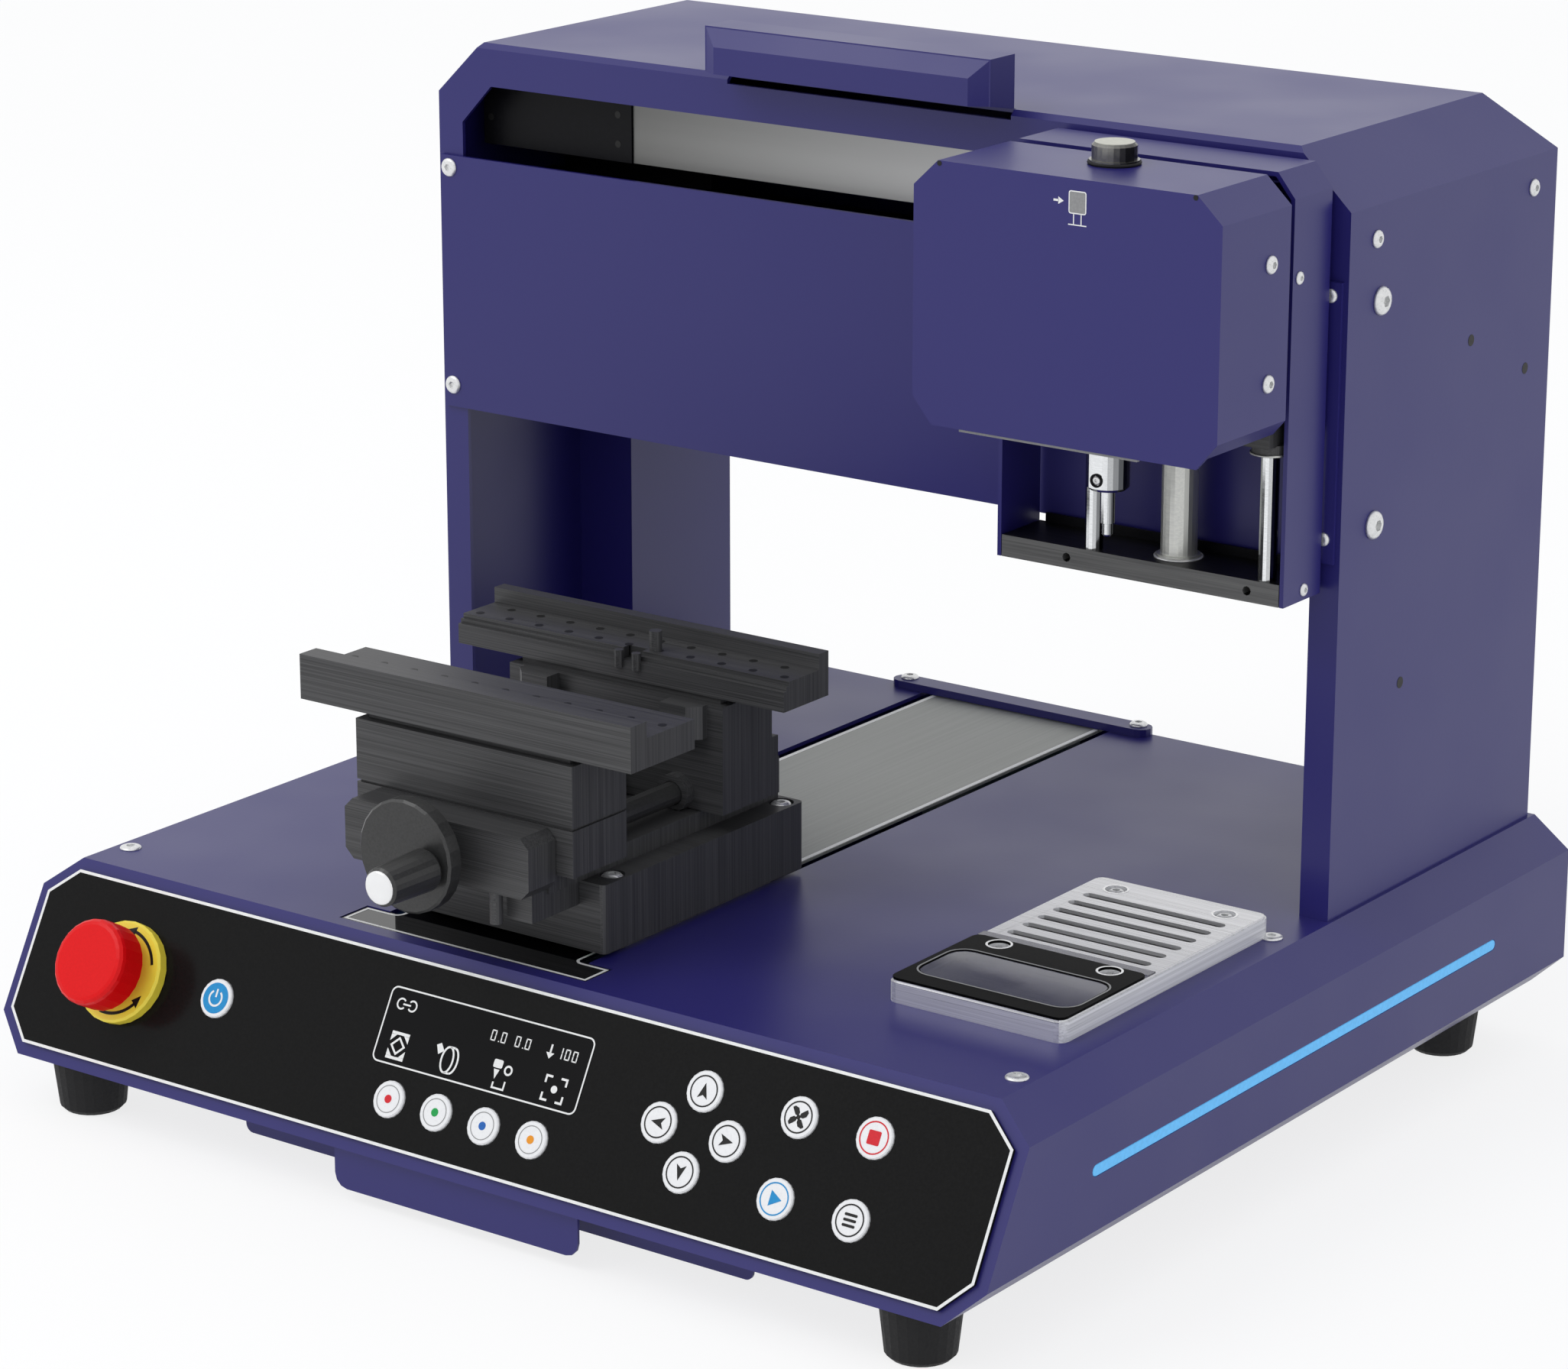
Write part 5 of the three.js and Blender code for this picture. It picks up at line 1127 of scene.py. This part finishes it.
class ENGRAVER_OT_head_trim(bpy.types.Operator):
    """Draw the knob sign on the head, and add its seal, bushings, collar, edges and clamp"""

    bl_idname = "engraver.head_trim"
    bl_label = "Trim of the head"

    def execute(self, context):
        low, high = in_mm(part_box("head_cover"))
        # Knob sign, drawn from the cover's lower left corner
        bm = bmesh.new()
        base, top = layer()
        x, y = 62.5, 79.5
        slab(bm, rounded(x - 3, x + 3, y - 3.4, y + 3.4, 0.6, 3), base, top)
        line_ring(bm, rounded(x - 3.3, x + 3.3, y - 3.7, y + 3.7, 0.8, 3), 0.35, top, top + INK, 1)
        for start, end, width in (
            ((-1.4, -3.8), (-1.4, -7), 0.35), ((1.4, -3.8), (1.4, -7), 0.35),
            ((-3.4, -7.2), (3.4, -7.2), 0.35), ((-9, 0), (-7, 0), 0.7),
        ):
            points = [(x + start[0], y + start[1]), (x + end[0], y + end[1])]
            stroke(bm, points, width, base, top, 1)
        slab(bm, [(x - 7.2, y - 1.2), (x - 5.2, y), (x - 7.2, y + 1.2)], base, top, 1)
        new_piece("knob_sign", bm, ["ink_grey", "ink_white"], "head", spot(*low, -Y))

        # Knob: a light grey disc on its top, a painted reflection, and the seal under it
        knob_low, knob_high = in_mm(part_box("pressure_knob"))
        centre = (knob_low + knob_high) / 2
        bm = bmesh.new()
        slab(bm, circle(0, 0, 6.5), LIFT, 0.25)
        place = spot(centre.x, centre.y, knob_high.z, Z)
        new_piece("knob_top", bm, ["knob_top_reflection"], "knob", place)
        bm = bmesh.new()
        lathe(bm, [(6, 0.1), (8.6, 0.1), (8.8, 0.6), (8.6, 1.1), (6, 1.1), (6, 0.1)])
        place = spot(centre.x, centre.y, high.z, Z)
        new_piece("knob_seal", bm, ["rubber"], "knob", place)

        # Bushings under the head block, and a collar at the foot of the sleeve
        block = in_mm(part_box("head_block"))[0].z
        plate = in_mm(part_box("z_bottom_plate"))[1]
        bushings = bmesh.new()
        collars = bmesh.new()
        for name in ("guide_rod_left", "guide_rod_right", "centre_sleeve"):
            rod_low, rod_high = in_mm(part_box(name))
            centre = (rod_low + rod_high) / 2
            radius = (rod_high.x - rod_low.x) / 2
            inner = radius + 0.15
            if name == "centre_sleeve":
                rim = radius + 1
                place = Matrix.Translation((centre.x, centre.y, plate.z + LIFT))
                lathe(collars, [(inner, 0), (rim, 0), (rim, 0.5), (inner, 0.7), (inner, 0)], place)
            else:
                place = Matrix.Translation((centre.x, centre.y, block - 0.61))
                lathe(bushings, ring_profile(inner, radius + 3.7, 0.6), place)
        new_piece("sleeve_collar", collars, ["polished"], "carriage")
        new_piece("rod_bushings", bushings, ["aluminium"], "head")

        # Folded lip behind the bottom plate, and edge of the inner plate under the cover's front
        bm = bmesh.new()
        slab(bm, rect(78, plate.x, plate.y - 0.9, plate.y), plate.z, plate.z + 3.2)
        new_piece("bottom_plate_lip", bm, ["black_sheet"], "carriage")
        bm = bmesh.new()
        slab(bm, rect(89, 157, low.y + 0.9, low.y + 2.4), low.z - 1.0, low.z + 0.8)
        new_piece("inner_plate_edge", bm, ["ink_grey"], "head")

        # Relief notches at the folded corners, drawn as black discs of painted shade
        bm = bmesh.new()
        for x in (low.x + 9.9, high.x - 9.9):
            disc(bm, spot(x, low.y, high.z - 0.9, -Y), 0.9, 12)
        new_piece("cover_corner_notches", bm, ["black_ink_and_hole_shade"], "head")

        # Clamp screw of the tool holder in its hole, with a black ring of painted shade round it
        low, high = in_mm(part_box("tool_holder"))
        x = (low.x + high.x) / 2
        z = 235.5
        bm = bmesh.new()
        lathe(bm, ring_profile(1.65, 2.3, 0.5))
        place = spot(x, low.y + 0.15, z, -Y)
        new_piece("clamp_hole_shade_ring", bm, ["black_sheet"], "tool", place)
        screws("clamp_screw", "tool", [(x, low.y + 0.3, z, -Y, 1.5, 0.7)])
        return {"FINISHED"}


class ENGRAVER_OT_sheet_edges(bpy.types.Operator):
    """Add the folded front wall of the tray, the hood's rear skirt and the seal of the rear panel"""

    bl_idname = "engraver.sheet_edges"
    bl_label = "Folded edges"

    def execute(self, context):
        low, high = in_mm(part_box("chip_tray"))
        bm = bmesh.new()
        slab(bm, rounded(low.x + 0.2, high.x - 0.2, low.z + 0.2, high.z - 0.2, 3), 0, 0.9)
        place = spot(0, high.y - TRAY_WALL, 0, -Y)
        new_piece("tray_front_wall", bm, ["blue_sheet"], "tray", place)
        low, high = in_mm(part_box("cable_hood"))
        bm = bmesh.new()
        skirt = rect(low.x + 1.7, high.x - 1.7, high.y - 0.9, high.y - 0.1)
        slab(bm, skirt, low.z - 0.2, low.z + 3.6)
        new_piece("hood_rear_skirt", bm, ["blue_sheet"], "frame")
        bm = bmesh.new()
        slab(bm, rect(-175, 175, 186.5, 189.7), 21.55, 22.6)
        new_piece("rear_seal", bm, ["rubber"], "frame")
        return {"FINISHED"}


# Camera, lamp and floor: places and sizes in metres, angles in degrees
CAMERA_PLACE = (0.96346, -1.31254, 0.63477)
CAMERA_AZIMUTH = 36.259
CAMERA_ELEVATION = 16.817
LAMP_PLACE = (-1.1, -1.4, 2.0)
LAMP_TARGET = (0, 0, 0.15)
LAMP_SIZE = 1.6
FLOOR_SINK = 0.05 * MM


def seen_directly(tree, *more):
    """One for rays from the camera, for glossy rays and for the other kinds named."""
    rays = add_node(tree, "ShaderNodeLightPath")
    seen = rays.outputs["Is Camera Ray"]
    for kind in ("Is Glossy Ray", *more):
        seen = add_node(
            tree, "ShaderNodeMath", {"operation": "MAXIMUM"}, {0: seen, 1: rays.outputs[kind]},
        ).outputs[0]
    return seen


class ENGRAVER_OT_stage(bpy.types.Operator):
    """Make the pale floor, the soft light and the camera"""

    bl_idname = "engraver.stage"
    bl_label = "Floor, light and camera"

    def execute(self, context):
        stage = context.scene.engraver_stage
        scene = context.scene
        scene.view_settings.view_transform = "Standard"

        tree, shader = new_finish(
            "floor", "matt_white_floor", Roughness=0.9, Specular_IOR_Level=0.1,
        )
        grain = noise(tree, (400.0,) * 3)
        tree.links.new(tint(tree, grain, "#f4f4f4", "#f8f8f8"), shader.inputs["Base Color"])
        share = add_node(
            tree, "ShaderNodeMath", {"operation": "MULTIPLY", 1: 0.75}, {0: seen_directly(tree)},
        )
        paper = add_node(tree, "ShaderNodeEmission", {"Color": (1, 1, 1, 1), "Strength": 1.06})
        mixed = add_node(
            tree, "ShaderNodeMixShader", None,
            {0: share.outputs[0], 1: shader.outputs[0], 2: paper.outputs[0]},
        )
        tree.links.new(mixed.outputs[0], tree.nodes["Material Output"].inputs["Surface"])
        bm = bmesh.new()
        half = stage.floor_size / 2
        bm.faces.new([bm.verts.new((x, y, 0)) for x, y in rect(-half, half, -half, half)])
        mesh = bpy.data.meshes.new("floor")
        bm.to_mesh(mesh)
        bm.free()
        floor = bpy.data.objects.new("floor", mesh)
        floor.location.z = -FLOOR_SINK
        mesh.materials.append(FINISHES["floor"])
        scene.collection.objects.link(floor)

        world = bpy.data.worlds.new("pale studio")
        scene.world = world
        world.use_nodes = True
        tree = world.node_tree
        tree.nodes.clear()
        fill = add_node(tree, "ShaderNodeBackground", {"Color": linear("#f4f6fa"), "Strength": 0.8})
        white = add_node(tree, "ShaderNodeBackground", {"Color": (1, 1, 1, 1), "Strength": 1.0})
        mixed = add_node(
            tree, "ShaderNodeMixShader", None,
            {0: seen_directly(tree, "Is Transmission Ray"), 1: fill.outputs[0], 2: white.outputs[0]},
        )
        add_node(tree, "ShaderNodeOutputWorld", None, {0: mixed.outputs[0]})

        lamp = bpy.data.lights.new("key_lamp", "AREA")
        lamp.shape = "DISK"
        lamp.size = LAMP_SIZE
        lamp.energy = stage.key_energy
        key = bpy.data.objects.new("key_lamp", lamp)
        key.location = LAMP_PLACE
        aim = Vector(LAMP_TARGET) - key.location
        key.rotation_euler = aim.to_track_quat("-Z", "Y").to_euler()
        scene.collection.objects.link(key)

        data = bpy.data.cameras.new("photo_camera")
        data.sensor_width = 36
        data.lens = stage.lens
        camera = bpy.data.objects.new("photo_camera", data)
        azimuth = math.radians(CAMERA_AZIMUTH)
        elevation = math.radians(CAMERA_ELEVATION)
        turn = Matrix.Rotation(azimuth, 4, "Z") @ Matrix.Rotation(math.pi / 2 - elevation, 4, "X")
        camera.matrix_world = Matrix.Translation(CAMERA_PLACE) @ turn
        scene.collection.objects.link(camera)
        scene.camera = camera
        return {"FINISHED"}


OPERATORS = (
    ENGRAVER_OT_finishes, ENGRAVER_OT_panel_border, ENGRAVER_OT_key_signs,
    ENGRAVER_OT_display_signs, ENGRAVER_OT_stop_signs, ENGRAVER_OT_slot_lines,
    ENGRAVER_OT_gantry_holes, ENGRAVER_OT_screws, ENGRAVER_OT_rack_trim, ENGRAVER_OT_vise_marks,
    ENGRAVER_OT_head_trim, ENGRAVER_OT_sheet_edges, ENGRAVER_OT_stage,
)


class ENGRAVER_PT_looks(bpy.types.Panel):
    """Sizes, colours and steps of the engraving machine"""

    bl_idname = "ENGRAVER_PT_looks"
    bl_label = "Engraving machine"
    bl_space_type = "VIEW_3D"
    bl_region_type = "UI"
    bl_category = "Engraver"

    def draw(self, context):
        layout = self.layout
        for group in ("engraver_look", "engraver_trim", "engraver_stage"):
            settings = getattr(context.scene, group)
            for name in settings.__annotations__:
                layout.prop(settings, name)
        for operator in OPERATORS:
            layout.operator(operator.bl_idname)


SETTINGS = {
    "engraver_look": EngraverLook, "engraver_trim": EngraverTrim, "engraver_stage": EngraverStage,
}


def register():
    for group in SETTINGS.values():
        bpy.utils.register_class(group)
    for operator in OPERATORS:
        bpy.utils.register_class(operator)
    bpy.utils.register_class(ENGRAVER_PT_looks)
    for name, group in SETTINGS.items():
        setattr(bpy.types.Scene, name, bpy.props.PointerProperty(type=group))


def unregister():
    for name in SETTINGS:
        delattr(bpy.types.Scene, name)
    bpy.utils.unregister_class(ENGRAVER_PT_looks)
    for operator in reversed(OPERATORS):
        bpy.utils.unregister_class(operator)
    for group in reversed(SETTINGS.values()):
        bpy.utils.unregister_class(group)


def main():
    """Builds all the looks."""
    register()
    for operator in OPERATORS:
        group, name = operator.bl_idname.split(".")
        getattr(getattr(bpy.ops, group), name)()


if __name__ == "__main__":
    main()
